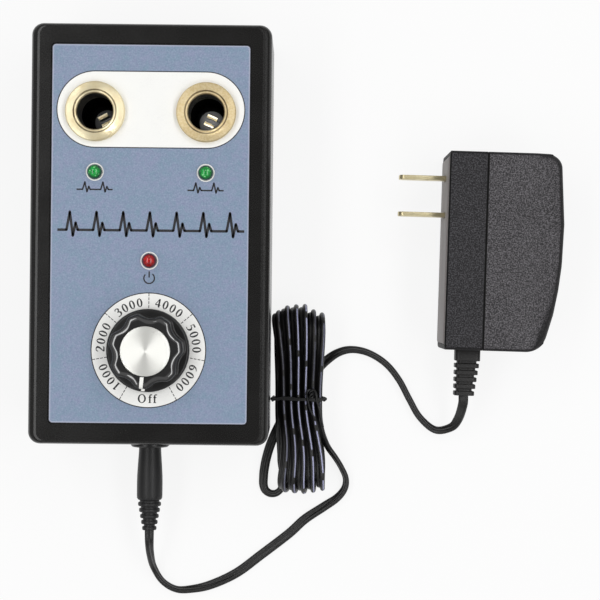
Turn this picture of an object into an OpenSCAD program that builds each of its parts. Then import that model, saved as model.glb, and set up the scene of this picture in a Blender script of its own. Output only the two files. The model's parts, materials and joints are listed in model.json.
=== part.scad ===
// Bench tester for spark plugs: a two-part case with two brass plug sockets, three lamps and a speed knob,
// fed by a wall adapter on a hanked flat twin lead.
// The origin is the centre of the case's underside. +X points to the adapter, +Y to the sockets, +Z up.

/* [Case] */
// Width of the case
case_w = 80; // [76:1:92]
// Length of the case, from the jack end to the socket end
case_l = 140; // [138:1:160]
// Height of the rim round the label
case_h = 42; // [41:0.5:50]
// Height of the joint between the covers
split_h = 21; // [20.5:0.5:24]
// Wall thickness of both covers
wall = 2.4; // [2:0.1:3]
// Thickness of the front panel under the label
panel_t = 2; // [1.6:0.1:2.6]
// Corner radius of the case, seen from above
corner_r = 4; // [3.5:0.1:6]
// Rounding of the long top edges
side_round = 3; // [2:0.1:3.4]
// Rounding of the short top edges
end_round = 1.4; // [1:0.1:2]
// Rounding of the bottom edges
foot_round = 1.2; // [0.6:0.1:1.6]

/* [Label] */
// Width of the front label
label_w = 66; // [62:1:67]
// Length of the front label
label_l = 126; // [122:1:127]
// Thickness of the front label
label_t = 0.4; // [0.3:0.1:0.6]
// Depth of the recess that the label lies in
label_recess = 0.8; // [0.6:0.1:1.2]
// Corner radius of the label
label_r = 1.4; // [1:0.1:3]

/* [Sockets] */
// Distance between the two socket centres
socket_pitch = 36.8; // [32:0.1:40]
// Distance of the sockets from the middle of the case
socket_y = 40.5; // [38:0.5:46]
// Bore of the sockets
socket_d = 12; // [11:0.1:13]
// Diameter of the collar flange
flange_d = 19.8; // [19:0.1:22]
// Thickness of the collar flange
flange_t = 2.4; // [1.6:0.1:3.2]
// Diameter of the seat at the mouth of the collar
seat_d = 14.2; // [13.4:0.1:15.4]
// Outer diameter of the collar thread
thread_d = 16; // [15.6:0.1:17]
// Length of the collar below its flange
collar_l = 12; // [10.5:0.5:14]

/* [Lamps] */
// Diameter of the lamps
lamp_d = 5; // [4:0.1:6]
// Height of the lamp domes above the label
lamp_rise = 3; // [2.6:0.1:4]
// Distance of the green lamps from the middle of the case
signal_y = 20.5; // [19.5:0.5:22]
// Distance of the red lamp from the middle of the case
power_y = -8.8; // [-11:0.1:-6]

/* [Knob] */
// Distance of the knob axis from the middle of the case
knob_y = -38.5; // [-40:0.1:-36]
// Diameter of the knob skirt
skirt_d = 27.5; // [25:0.5:30]
// Thickness of the knob skirt
skirt_t = 2.6; // [2:0.1:3.4]
// Diameter of the knob body over its lobes
lobe_d = 24.5; // [22:0.5:25]
// Depth of the finger flutes
flute_depth = 1.5; // [1:0.1:2]
// Radius of the finger flutes
flute_r = 6; // [5:0.5:9]
// Number of finger flutes
flutes = 7; // [5:1:8]
// Height of the knob
knob_h = 12; // [11.5:0.5:15]
// Diameter of the metal cap
cap_d = 16.3; // [14:0.1:16.6]
// Diameter of the control shaft
shaft_d = 6; // [5.6:0.1:6.35]

/* [Lead] */
// Height of the jack centre above the table
jack_z = 14; // [13.8:0.1:14.4]
// Offset of the jack from the middle of the case
jack_x = -1.5; // [-4:0.5:4]
// Diameter of the jack flange
jack_flange_d = 13.4; // [12.6:0.2:14]
// Thickness of the jack flange
jack_flange_t = 2.8; // [2:0.1:3.4]
// Outer diameter of the plug barrel
barrel_d = 5.5; // [5.4:0.1:5.6]
// Diameter of the jack's centre pin
pin_d = 2; // [1.9:0.1:2.2]
// Length of the plug barrel
barrel_l = 9.5; // [9:0.1:9.8]
// Length of the plug grip in front of its boot
grip_l = 18.5; // [16:0.5:20]
// Greatest diameter of the plug grip
grip_d = 8.9; // [8.2:0.1:10]
// Width of the flat twin lead
cord_w = 3.4; // [3.2:0.1:3.4]
// Thickness of the flat twin lead
cord_t = 1.7; // [1.6:0.1:1.7]
// Number of turns in the hank
hank_turns = 6; // [5:1:6]

/* [Adapter] */
// Length of the adapter body
adapter_l = 67.6; // [66:0.2:72]
// Thickness of the adapter body, which lies on its side
adapter_t = 30; // [28:0.5:34]
// Depth of the adapter from its face to the joint of its shells
base_depth = 13.4; // [12.6:0.1:15]
// Depth of the adapter from the joint to its back
back_depth = 27; // [25:0.5:32]
// Wall thickness of the adapter shells
adapter_wall = 2.2; // [1.8:0.1:2.6]
// Turn of the adapter on the table, in degrees
adapter_turn = 1.2; // [0:0.1:2]
// Length of the mains blades outside the face
blade_l = 16; // [15:0.5:18]
// Width of the mains blades
blade_w = 6.3; // [6.1:0.1:6.6]
// Thickness of the mains blades
blade_t = 1.5; // [1.4:0.1:1.6]
// Distance between the mains blades
blade_pitch = 12.7; // [12.5:0.1:13]

/* [Hidden] */
$fn = 64;

case_black = [0.10, 0.10, 0.10];
label_blue = [0.53, 0.60, 0.70];
brass = [0.82, 0.70, 0.42];
steel = [0.72, 0.72, 0.74];
copper = [0.72, 0.42, 0.22];
board_green = [0.10, 0.35, 0.18];
soft_black = [0.06, 0.06, 0.06];
charcoal = [0.24, 0.24, 0.25];

// Clearances between pieces, on the radius or on each side
fit_gap = 0.1;
slip_gap = 0.2;
run_gap = 0.05;
cut_over = 1;
slice_t = 0.02;

// Levels of the case
panel_top = case_h - label_recess;
panel_under = panel_top - panel_t;
label_top = panel_top + label_t;
case_end = -case_l / 2;
inner_w = case_w - 2 * wall;
inner_l = case_l - 2 * wall;
inner_r = corner_r - wall / 2;
rim_t = 1.1;
rim_rise = 1.6;

// Screw bosses of the covers
boss_r = 4;
boss_inset = 7;
boss_x = case_w / 2 - boss_inset;
boss_y = case_l / 2 - boss_inset;
screw_r = 1.45;
screw_head_r = 2.8;
screw_head_t = 2;
screw_depth = 5;
screw_grip = 9;

// Sockets
socket_x = socket_pitch / 2;
socket_r = socket_d / 2;
thread_r = thread_d / 2;
seat_depth = 1.1;
tag_t = 0.6;
tag_r = thread_r + 2.6;
tag_tail_w = 4;
tag_tail_reach = socket_x - 3;
nut_t = 4;
nut_flats = thread_d + 4;
collar_under = label_top - collar_l;
cup_relief = 0.4;
cup_bore_r = socket_r + cup_relief;
cup_wall = 1.4;
cup_r = cup_bore_r + cup_wall;
cup_floor = 3;
cup_seat_t = 1.8;
cup_seat_h = 3;
clip_z = wall + cup_floor;
clip_t = 0.6;
clip_disc_r = 4.4;
leaf_w = 3.6;
leaf_t = 0.5;
leaf_gap = 2.2;
leaf_h = 9;
leaf_lip = 0.7;
tail_w = 3;
tail_end = cup_r + 2.4;
clip_turn = [28, -24];

// Lamps
lamp_r = lamp_d / 2;
lamp_rim_r = lamp_r + 0.4;
lamp_rim_t = 1;
lamp_body_l = 5.1;
lamp_boss_r = lamp_r + 1.7;
lamp_rim_top = label_top + lamp_rise - lamp_r - lamp_body_l;
lamp_leg_r = 0.25;
lamp_leg_x = 1.27;

// Circuit board
board_post_h = 4;
board_post_r = 3;
board_t = 1.6;
board_r = 1;
board_under = wall + board_post_h;
board_top = board_under + board_t;
board_side_gap = 4;
board_end_gap = 9.6;
board_lamp_edge = 3.5;
board_w = inner_w - 2 * board_side_gap;
board_south = case_end + wall + board_end_gap;
board_north = signal_y + board_lamp_edge;
board_l = board_north - board_south;
board_mid = (board_north + board_south) / 2;
board_post_inset = 4;
board_post_x = board_w / 2 - board_post_inset;
board_post_y = board_l / 2 - board_post_inset;
board_screw_r = 1.2;
board_screw_head_r = 2.2;
board_screw_head_t = 1.4;
board_screw_l = 5;

// Speed control and knob
shaft_r = shaft_d / 2;
bush_r = shaft_r + 0.8;
bush_rise = 4.6;
control_r = 8.5;
control_t = 9;
switch_t = 8;
shaft_depth = 7;
washer_r = 5.6;
washer_t = 0.5;
control_nut_flats = 10;
control_nut_t = 2;
lug_w = 2;
lug_t = 0.6;
lug_l = 4;
lug_pitch = 5;
wire_r = 0.6;
skirt_gap = 0.8;
skirt_z = label_top + skirt_gap;
skirt_edge = 0.6;
knob_top = skirt_z + knob_h;
knob_edge = 1.4;
knob_hollow_r = 7.2;
knob_hollow_top = label_top + bush_rise + 0.6;
cap_r = cap_d / 2;
cap_t = 0.7;
pointer_w = 1.2;
pointer_t = 0.3;
pointer_turn = 6;
valley_r = lobe_d / 2 - flute_depth;
pointer_end = skirt_d / 2 - skirt_edge;

// Coils and other parts on the board
coil_y = 4;
coil_w = 18;
coil_l = 20;
coil_h = 15;
coil_r = 1.5;
coil_stub_x = 4;
coil_stub_r = 2;
coil_stub_l = 2.5;
coil_stub_z = board_top + 7;
core_t = 2.6;
core_w = 9;
coil_x = board_w / 2 - coil_w / 2 - core_t;
spark_lead_r = 1.2;
capacitor_r = 6.2;
capacitor_h = 18;
capacitor_inset = 9.6;
capacitor_x = board_w / 2 - capacitor_inset;
power_parts_y = knob_y + 5;
chip_w = 6.4;
chip_l = 9.6;
chip_h = 3.4;
chip_lift = 0.5;
chip_y = (knob_y + control_r + lug_l + power_y) / 2;
chip_leg = 0.5;
chip_leg_pitch = 2.54;
sink_w = 16;
sink_h = 20;
sink_t = 1.6;
sink_fin = 8;
transistor_w = 10;
transistor_h = 15;
transistor_t = 4.4;

// Jack and plug
jack_thread_r = 5.5;
jack_depth = 14;
jack_bore_depth = barrel_l + 0.6;
jack_nut_flats = 14;
jack_nut_t = 2.5;
jack_lug_x = 3;
jack_lug_l = 4;
jack_front = case_end - jack_flange_t;
jack_back = case_end + jack_depth;
barrel_r = barrel_d / 2;
barrel_core_r = pin_d / 2 + fit_gap;
grip_mouth_d = 7.7;
grip_round = 0.8;
boot_ribs = 5;
boot_pitch = 2.1;
boot_rib_t = 1.3;
boot_d = [8, 5];
boot_core = 0.7;
boot_l = boot_ribs * boot_pitch;
plug_end = jack_front - grip_l - boot_l;

// Flat twin lead: its section has flattened sides
corner_at = [case_w / 2, case_end, 0];
hex_section = [for (a = [0 : 60 : 300]) [cord_w / 2 * cos(a), cord_t / 2 * sin(a) / sin(60)]];
oct_section = [for (a = [0 : 45 : 315])
    [cord_w / 2 * (cos(a) + sign(cos(a)) * (1 - abs(cos(a))) * abs(sin(a)) * 0.4), cord_t / 2 * sin(a)]];

// Hank: turns that stand side by side, drawn in at the waist by the tie
loop_steps = 24;
half_loop = loop_steps / 2;
run_steps = loop_steps / 8;
fold_steps = loop_steps / 4;
hank_x = 10;
hank_y = 14;
fold_r = 6.5;
run_half = 25;
lay = 60;
lay_ends = 41;
waist_pitch = 2.55;
end_pitch = 2.85;
south_shift = 2.2;
waist_lift = 3.8;
waist_stack = 3.8;
table_gap = 0.1;
lay_rise = max([for (s = hex_section) s[0] * sin(lay) + s[1] * cos(lay)]);
lay_spread = max([for (s = hex_section) s[0] * cos(lay) + s[1] * sin(lay)]);
fold_mid = fold_r + lay_rise + table_gap;
fold_under = fold_mid - fold_r;
fold_over = fold_mid + fold_r;
waist_under = fold_under + waist_lift;
waist_over = waist_under + waist_stack;
hank_last = loop_steps * (hank_turns - 1) + half_loop + 2;
hank_centre = (hank_turns - 0.5) / 2;
// By turn: how far the top of a fold leans aside, and how much further the fold reaches
near_lean = [[0, 0.8], [1, 0.1], [2, -0.6], [3, -1.3], [4, -2], [5, -2.7], [6, -3]];
far_lean = [[0, 0.3], [1, 0], [2, -0.3], [3, -0.7], [4, -1.2], [5, -1.6], [6, -1.8]];
near_reach = [[0, -0.8], [1, -0.6], [2, 0.3], [3, 0.6], [4, 0.3], [5, 0], [6, 0]];
far_reach = [[0, -2.6], [1, -2], [2, 0.5], [3, 0.3], [4, 0.4], [5, -1.6], [6, -2.4]];
lean_from = 12;
lean_run = 19;
tie_w = 2.4;
tie_t = 0.9;
tie_gap = 0.4;
tie_round = 0.6;
tie_knot_x = 4.4;
tie_knot_l = 4.6;
tie_tail_l = 3.4;
tie_tail_turns = [-32, 24];

// Adapter
adapter_gap = 59.5;
adapter_y = -3.8;
adapter_at = [case_w / 2 + adapter_gap, adapter_y, 0];
half_l = adapter_l / 2;
half_t = adapter_t / 2;
face_proud = 0.4;
face_t = 2.6;
face_edge = 1.8;
face_chamfer = 0.4;
adapter_depth = base_depth + back_depth;
adapter_board_x = face_t + adapter_wall + 3;
adapter_board_gap = 0.6;
adapter_parts_x = adapter_board_x + board_t;
transformer_y = 6;
winding = [16, 20, 18];
winding_core = [10, 26, 12];
reservoir_y = -19;
reservoir_r = 5;
reservoir_l = 14;
shell_round = 1.6;
back_slope = 3;
back_slope_run = 10.5;
blade_y = 18.8;
blade_tip_r = 2;
relief_x = 9.6;
relief_w = 8.7;
relief_end_w = 7;
relief_h = 7;
relief_round = 1.5;
relief_collar = 4;
relief_ribs = 5;
relief_pitch = 2.4;
relief_rib_t = 1.5;
relief_core = 0.8;
relief_l = relief_collar + relief_ribs * relief_pitch;
relief_root = 0.4;
relief_neck_w = relief_w - 2;
relief_neck_h = relief_h - 2;

function unit(v) = v / norm(v);
function lerp(a, b, f) = a + (b - a) * f;

// A smooth curve through a route's points, with a few steps from each point to the next
function curve_at(a, b, c, d, f) =
    0.5 * (2 * b + (c - a) * f + (2 * a - 5 * b + 4 * c - d) * f * f + (3 * b - a - 3 * c + d) * f * f * f);
function route_at(p, i) = i < 0 ? 2 * p[0] - p[1] : i >= len(p) ? 2 * p[len(p) - 1] - p[len(p) - 2] : p[i];
function route_curve(p, steps) = [
    for (i = [0 : len(p) - 2], k = [0 : steps - 1])
        curve_at(route_at(p, i - 1), p[i], p[i + 1], route_at(p, i + 2), k / steps),
    p[len(p) - 1]
];
function heading(p, i) = unit(p[min(i + 1, len(p) - 1)] - p[max(i - 1, 0)]);

// Corners of a section that is set square to the heading, with its width along a given direction
function ring_at(centre, ahead, across, section) =
    let (w = unit(across - (across * ahead) * ahead), n = cross(ahead, w))
    [for (s = section) centre + s[0] * w + s[1] * n];

// The width of a lead lies level at a roll of 0 and upright at a roll of 90
function rolled(ahead, roll) =
    let (level = unit(cross(ahead, [0, 0, 1])))
    cos(roll) * level + sin(roll) * cross(level, ahead);

// One closed tube of triangles through a list of rings
module ring_tube(rings) {
    k = len(rings[0]);
    last = (len(rings) - 1) * k;
    corners = [for (r = rings, p = r) p];
    start_cap = [for (j = [1 : k - 2]) [0, j, j + 1]];
    end_cap = [for (j = [1 : k - 2]) [last, last + j + 1, last + j]];
    walls = [
        for (i = [0 : len(rings) - 2], j = [0 : k - 1])
            let (a = i * k + j, b = i * k + (j + 1) % k)
            each [[a, a + k, b + k], [a, b + k, b]]
    ];
    polyhedron(corners, concat(start_cap, walls, end_cap));
}

// A round wire along a route, 8-sided, with square ends
module wire(route, r, steps = 3) {
    p = route_curve(route, steps);
    n = len(p) - 1;
    section = [for (a = [0 : 45 : 315]) r * [cos(a), sin(a)]];
    side = [1, 0.3, 0.2];
    ring_tube([for (i = [0 : n])
        let (ahead = i == 0 ? unit(route[1] - route[0])
            : i == n ? unit(route[len(route) - 1] - route[len(route) - 2]) : heading(p, i))
        ring_at(p[i], ahead, side, section)]);
}

module rounded_rect(w, l, r) {
    square([w, l - 2 * r], center = true);
    square([w - 2 * r, l], center = true);
    for (sx = [-1, 1], sy = [-1, 1])
        translate([sx * (w / 2 - r), sy * (l / 2 - r)]) circle(r);
}

module slab(w, l, r, h) {
    linear_extrude(h) rounded_rect(w, l, r);
}

module hex_nut(flats, bore_r, t) {
    difference() {
        cylinder(h = t, r = flats / 2 / cos(30), $fn = 6);
        translate([0, 0, -cut_over]) cylinder(h = t + 2 * cut_over, r = bore_r);
    }
}

module at_bosses() {
    for (sx = [-1, 1], sy = [-1, 1]) translate([sx * boss_x, sy * boss_y, 0]) children();
}

module at_board_posts() {
    for (sx = [-1, 1], sy = [-1, 1])
        translate([sx * board_post_x, board_mid + sy * board_post_y, 0]) children();
}

module at_lamps() {
    for (p = [[-socket_x, signal_y, 0], [socket_x, signal_y, 0], [0, power_y, 0]]) translate(p) children();
}

// Turns a shape drawn along Z so that it runs along +Y from a point
module along_y(x, y, z) {
    translate([x, y, z]) rotate([-90, 0, 0]) children();
}

// One level of the case's outline, drawn in by the rounding of its edges
module case_level(inset_x, inset_y, z) {
    r = corner_r - inset_y;
    for (sx = [-1, 1], sy = [-1, 1])
        translate([sx * (case_w / 2 - inset_x - r), sy * (case_l / 2 - inset_y - r), z])
            cylinder(h = slice_t, r = r, $fn = 32);
}

module top_cover() {
    color(case_black) difference() {
        union() {
            difference() {
                hull() {
                    case_level(0, 0, split_h);
                    for (a = [0 : 15 : 90])
                        case_level(side_round * (1 - cos(a)), end_round * (1 - cos(a)),
                            case_h - slice_t - side_round * (1 - sin(a)));
                }
                translate([0, 0, split_h - cut_over])
                    slab(inner_w, inner_l, inner_r, panel_under - split_h + cut_over);
            }
            at_bosses() translate([0, 0, split_h])
                cylinder(h = panel_under - split_h + panel_t / 2, r = boss_r);
            at_lamps() translate([0, 0, lamp_rim_top])
                cylinder(h = panel_under - lamp_rim_top + panel_t / 2, r = lamp_boss_r);
        }
        translate([0, 0, panel_top])
            slab(label_w + 2 * slip_gap, label_l + 2 * slip_gap, label_r + slip_gap,
                label_recess + cut_over);
        at_bosses() translate([0, 0, split_h - cut_over])
            cylinder(h = screw_grip + 2 * cut_over, r = screw_r + run_gap);
        at_lamps() translate([0, 0, lamp_rim_top - cut_over])
            cylinder(h = case_h - lamp_rim_top + cut_over, r = lamp_r + fit_gap);
        for (sx = [-1, 1]) translate([sx * socket_x, socket_y, panel_under - cut_over])
            cylinder(h = case_h - panel_under + cut_over, r = thread_r + slip_gap);
        translate([0, knob_y, panel_under - cut_over])
            cylinder(h = case_h - panel_under + cut_over, r = bush_r + slip_gap);
    }
}

module bottom_cover() {
    color(case_black) difference() {
        union() {
            difference() {
                hull() {
                    case_level(0, 0, split_h - slice_t);
                    for (a = [0 : 22.5 : 90])
                        case_level(foot_round * (1 - cos(a)), foot_round * (1 - cos(a)),
                            foot_round * (1 - sin(a)));
                }
                translate([0, 0, wall]) slab(inner_w, inner_l, inner_r, split_h);
            }
            translate([0, 0, split_h - rim_rise]) difference() {
                slab(inner_w - 2 * fit_gap, inner_l - 2 * fit_gap, inner_r - fit_gap, 2 * rim_rise);
                translate([0, 0, -cut_over])
                    slab(inner_w - 2 * rim_t, inner_l - 2 * rim_t, inner_r - rim_t,
                        2 * rim_rise + 2 * cut_over);
                at_bosses() translate([0, 0, rim_rise])
                    cylinder(h = rim_rise + cut_over, r = boss_r + fit_gap);
            }
            difference() {
                slab(inner_w + wall, inner_l + wall, inner_r, split_h - rim_rise);
                translate([0, 0, wall])
                    slab(inner_w - 2 * rim_t, inner_l - 2 * rim_t, inner_r - rim_t, split_h);
            }
            at_bosses() translate([0, 0, wall / 2]) cylinder(h = split_h - wall / 2, r = boss_r);
            at_board_posts() translate([0, 0, wall / 2])
                cylinder(h = board_under - wall / 2, r = board_post_r);
            for (sx = [-1, 1]) translate([sx * socket_x, socket_y, wall / 2]) difference() {
                cylinder(h = cup_seat_h + wall / 2, r = cup_r + slip_gap + cup_seat_t);
                translate([0, 0, wall / 2]) cylinder(h = cup_seat_h + cut_over, r = cup_r + slip_gap);
                translate([-tail_w, -2 * cup_r, clip_z - wall / 2 - 3 * clip_t])
                    cube([2 * tail_w, 2 * cup_r, cup_seat_h + cut_over]);
            }
        }
        at_bosses() translate([0, 0, -cut_over]) {
            cylinder(h = split_h + 2 * cut_over, r = screw_r + slip_gap);
            cylinder(h = screw_depth + cut_over, r = screw_head_r + slip_gap);
        }
        at_board_posts() translate([0, 0, wall])
            cylinder(h = board_post_h + cut_over, r = board_screw_r + run_gap);
        along_y(jack_x, case_end - cut_over, jack_z)
            cylinder(h = wall + rim_t + 2 * cut_over, r = jack_thread_r + fit_gap);
    }
}

module cross_slot(r, depth, w) {
    for (a = [0, 90]) rotate(a) translate([-r, -w / 2, -cut_over]) cube([2 * r, w, depth + cut_over]);
}

module cover_screws() {
    slot_w = 0.8;
    slot_r = screw_head_r * 0.65;
    color(steel) at_bosses() difference() {
        union() {
            translate([0, 0, screw_depth - screw_head_t]) cylinder(h = screw_head_t, r = screw_head_r);
            translate([0, 0, screw_depth - screw_head_t / 2])
                cylinder(h = split_h + screw_grip - screw_depth + screw_head_t / 2, r = screw_r);
        }
        translate([0, 0, screw_depth - screw_head_t]) cross_slot(slot_r, screw_head_t / 2, slot_w);
    }
}

module front_label() {
    color(label_blue) translate([0, 0, panel_top]) difference() {
        slab(label_w, label_l, label_r, label_t);
        at_lamps() translate([0, 0, -cut_over]) cylinder(h = label_t + 2 * cut_over, r = lamp_r + slip_gap);
        for (sx = [-1, 1]) translate([sx * socket_x, socket_y, -cut_over])
            cylinder(h = label_t + 2 * cut_over, r = thread_r + slip_gap);
        translate([0, knob_y, -cut_over]) cylinder(h = label_t + 2 * cut_over, r = bush_r + slip_gap);
    }
}

// Brass collar with a conical seat for the plug's shell
module socket_collar(side) {
    flange_edge = 0.5;
    flange_r = flange_d / 2;
    color(brass) translate([side * socket_x, socket_y, label_top]) rotate_extrude() difference() {
        union() {
            polygon([[0, 0], [flange_r, 0], [flange_r, flange_t - flange_edge],
                [flange_r - flange_edge, flange_t], [0, flange_t]]);
            translate([0, -collar_l]) square([thread_r, collar_l + flange_t / 2]);
        }
        translate([0, -collar_l - cut_over]) square([socket_r, collar_l + flange_t + 2 * cut_over]);
        polygon([[0, flange_t - seat_depth], [socket_r, flange_t - seat_depth],
            [seat_d / 2, flange_t], [seat_d / 2, flange_t + cut_over], [0, flange_t + cut_over]]);
    }
}

module earth_tag(side) {
    color(brass) translate([side * socket_x, socket_y, panel_under - tag_t]) difference() {
        union() {
            cylinder(h = tag_t, r = tag_r);
            translate([-side * tag_tail_reach / 2, 0, tag_t / 2])
                cube([tag_tail_reach, tag_tail_w, tag_t], center = true);
        }
        translate([0, 0, -cut_over]) cylinder(h = tag_t + 2 * cut_over, r = thread_r + fit_gap);
    }
}

module collar_nut(side) {
    color(brass) translate([side * socket_x, socket_y, panel_under - tag_t - nut_t])
        hex_nut(nut_flats, thread_r + run_gap, nut_t);
}

module insulator_cup(side) {
    color(soft_black) translate([side * socket_x, socket_y, wall]) difference() {
        cylinder(h = collar_under - wall, r = cup_r);
        translate([0, 0, cup_floor]) cylinder(h = collar_under, r = cup_bore_r);
        translate([-tail_w / 2 - fit_gap, -2 * cup_r, cup_floor])
            cube([tail_w + 2 * fit_gap, 2 * cup_r, clip_t + fit_gap]);
    }
}

// Spring clip that grips the plug's terminal, with a tail through the side of the cup
module terminal_clip(side) {
    bend_h = leaf_h * 0.6;
    tip_h = leaf_h - leaf_lip;
    inner = leaf_gap / 2;
    outer = inner + leaf_t;
    leaf = [[inner, 0], [outer, 0], [outer, bend_h], [outer - leaf_lip / 2, tip_h],
        [outer + leaf_lip / 2, leaf_h], [inner + leaf_lip / 2, leaf_h],
        [inner - leaf_lip / 2, tip_h], [inner, bend_h]];
    color(brass) translate([side * socket_x, socket_y, clip_z]) union() {
        cylinder(h = clip_t, r = clip_disc_r);
        translate([-tail_w / 2, -tail_end, 0]) cube([tail_w, tail_end, clip_t]);
        rotate(clip_turn[side > 0 ? 1 : 0]) for (m = [0, 1]) mirror([0, m, 0])
            translate([-leaf_w / 2, 0, clip_t / 2]) rotate([90, 0, 90]) linear_extrude(leaf_w) polygon(leaf);
    }
}

// Lamp with a domed lens and two long legs down to the board
module lamp(x, y, tint) {
    color(tint) translate([x, y, 0]) union() {
        rotate_extrude() union() {
            translate([0, lamp_rim_top - lamp_rim_t]) square([lamp_rim_r, lamp_rim_t]);
            translate([0, lamp_rim_top - lamp_rim_t]) square([lamp_r, lamp_rim_t + lamp_body_l]);
            intersection() {
                translate([0, lamp_rim_top + lamp_body_l]) circle(lamp_r);
                translate([0, lamp_rim_top]) square([lamp_d, lamp_body_l + lamp_d]);
            }
        }
        for (sx = [-1, 1]) translate([sx * lamp_leg_x, 0, board_top])
            cylinder(h = lamp_rim_top - lamp_rim_t / 2 - board_top, r = lamp_leg_r, $fn = 24);
    }
}

// Half outline of the knob above its skirt, drawn in by an amount
module knob_outline(inset) {
    shoulder = lobe_d / 2 - knob_edge;
    translate([0, skirt_z + skirt_t / 2]) square([lobe_d / 2 - inset, knob_h - skirt_t / 2 - knob_edge]);
    translate([0, knob_top - 2 * knob_edge]) square([shoulder, 2 * knob_edge - inset]);
    translate([shoulder, knob_top - knob_edge]) circle(knob_edge - inset);
}

// Pointer line: along the skirt, up a lobe and over its edge to the cap. Its groove is wider and open outwards
module knob_pointer_bar(extra, open) {
    low = skirt_z + skirt_t - pointer_t - extra;
    w = pointer_w + 2 * extra;
    translate([w / 2, 0, 0]) rotate([90, 0, -90]) linear_extrude(w) difference() {
        union() {
            knob_outline(-open);
            translate([0, low]) square([pointer_end, pointer_t + extra + open]);
        }
        knob_outline(pointer_t + extra);
        square([skirt_d, low]);
        square([cap_r + fit_gap - extra, knob_top + cut_over]);
    }
}

module knob_body() {
    skirt_r = skirt_d / 2;
    color(soft_black) translate([0, knob_y, 0]) rotate(-pointer_turn) difference() {
        union() {
            rotate_extrude() translate([0, skirt_z])
                polygon([[0, 0], [skirt_r, 0], [skirt_r, skirt_t - skirt_edge],
                    [skirt_r - skirt_edge, skirt_t], [0, skirt_t]]);
            difference() {
                rotate_extrude() knob_outline(0);
                for (k = [0 : flutes - 1]) rotate((k + 0.5) * 360 / flutes - 90)
                    translate([valley_r + flute_r, 0, skirt_z + skirt_t]) cylinder(h = knob_h, r = flute_r);
            }
        }
        translate([0, 0, skirt_z - cut_over])
            cylinder(h = knob_hollow_top - skirt_z + cut_over, r = knob_hollow_r);
        translate([0, 0, skirt_z]) cylinder(h = knob_h - cap_t - cut_over, r = shaft_r + run_gap);
        translate([0, 0, knob_top - cap_t]) cylinder(h = cap_t + cut_over, r = cap_r + fit_gap);
        knob_pointer_bar(run_gap, cut_over);
    }
}

module knob_cap() {
    cap_edge = 0.25;
    color(steel) translate([0, knob_y, knob_top - cap_t]) rotate_extrude()
        polygon([[0, 0], [cap_r, 0], [cap_r, cap_t - cap_edge], [cap_r - cap_edge, cap_t], [0, cap_t]]);
}

module knob_pointer() {
    color("white") translate([0, knob_y, 0]) rotate(-pointer_turn) union() knob_pointer_bar(0, 0);
}

module control_shaft() {
    color(steel) translate([0, knob_y, panel_under - shaft_depth])
        cylinder(h = knob_top - cap_t - cut_over - panel_under + shaft_depth, r = shaft_r);
}

module control_body() {
    color(steel) translate([0, knob_y, panel_under - control_t]) difference() {
        union() {
            cylinder(h = control_t, r = control_r);
            for (k = [-1 : 1]) translate([k * lug_pitch - lug_w / 2, 0, 0])
                cube([lug_w, control_r + lug_l, lug_t]);
        }
        translate([0, 0, control_t - shaft_depth - slip_gap])
            cylinder(h = shaft_depth + cut_over, r = shaft_r + run_gap);
    }
}

module control_bush() {
    color(brass) translate([0, knob_y, panel_under]) difference() {
        cylinder(h = label_top - panel_under + bush_rise, r = bush_r);
        translate([0, 0, -cut_over])
            cylinder(h = label_top - panel_under + bush_rise + 2 * cut_over, r = shaft_r + run_gap);
    }
}

module control_washer() {
    color(steel) translate([0, knob_y, label_top]) difference() {
        cylinder(h = washer_t, r = washer_r);
        translate([0, 0, -cut_over]) cylinder(h = washer_t + 2 * cut_over, r = bush_r + run_gap);
    }
}

module control_nut() {
    color(brass) translate([0, knob_y, label_top + washer_t])
        hex_nut(control_nut_flats, bush_r + run_gap, control_nut_t);
}

module control_switch() {
    color(board_green) translate([0, knob_y, panel_under - control_t - switch_t])
        cylinder(h = switch_t, r = control_r);
}

module control_wires() {
    lug_y = knob_y + control_r + lug_l - lug_w / 2;
    color(copper) for (k = [-1 : 1]) translate([k * lug_pitch, lug_y, board_top])
        cylinder(h = panel_under - control_t - board_top, r = wire_r, $fn = 24);
}

module main_board() {
    color(board_green) difference() {
        translate([0, board_mid, board_under]) slab(board_w, board_l, board_r, board_t);
        at_board_posts() translate([0, 0, board_under - cut_over])
            cylinder(h = board_t + 2 * cut_over, r = board_screw_r + slip_gap);
    }
}

module board_screws() {
    color(steel) at_board_posts() union() {
        translate([0, 0, board_top]) cylinder(h = board_screw_head_t, r = board_screw_head_r);
        translate([0, 0, board_top - board_screw_l])
            cylinder(h = board_screw_l + board_screw_head_t / 2, r = board_screw_r);
    }
}

// Potted spark coil with a stub for its high-voltage lead
module coil_case(side) {
    color(soft_black) translate([side * coil_x, coil_y, board_top]) union() {
        slab(coil_w, coil_l, coil_r, coil_h);
        along_y(side * coil_stub_x, coil_l / 2 - cut_over, coil_stub_z - board_top)
            cylinder(h = coil_stub_l + cut_over, r = coil_stub_r);
    }
}

module coil_core(side) {
    span = coil_w + 2 * fit_gap;
    top = coil_h + fit_gap;
    color(steel) translate([side * coil_x, coil_y, board_top]) difference() {
        translate([-span / 2 - core_t, -core_w / 2, 0]) cube([span + 2 * core_t, core_w, top + core_t]);
        translate([-span / 2, -core_w, -cut_over]) cube([span, 2 * core_w, top + cut_over]);
    }
}

module spark_lead(side) {
    stub_at = [side * (coil_x + coil_stub_x), coil_y + coil_l / 2 + coil_stub_l, coil_stub_z];
    tail_at = [side * socket_x, socket_y - tail_end, clip_z + clip_t / 2];
    color([0.55, 0.08, 0.06]) wire([
        stub_at, stub_at + [0, 3, 0], lerp(stub_at, tail_at, 0.6) + [side * 1.2, 0, 2],
        tail_at + [side * 0.2, -2.8, 1.5], tail_at + [0, -1, 0], tail_at
    ], spark_lead_r);
}

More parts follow.
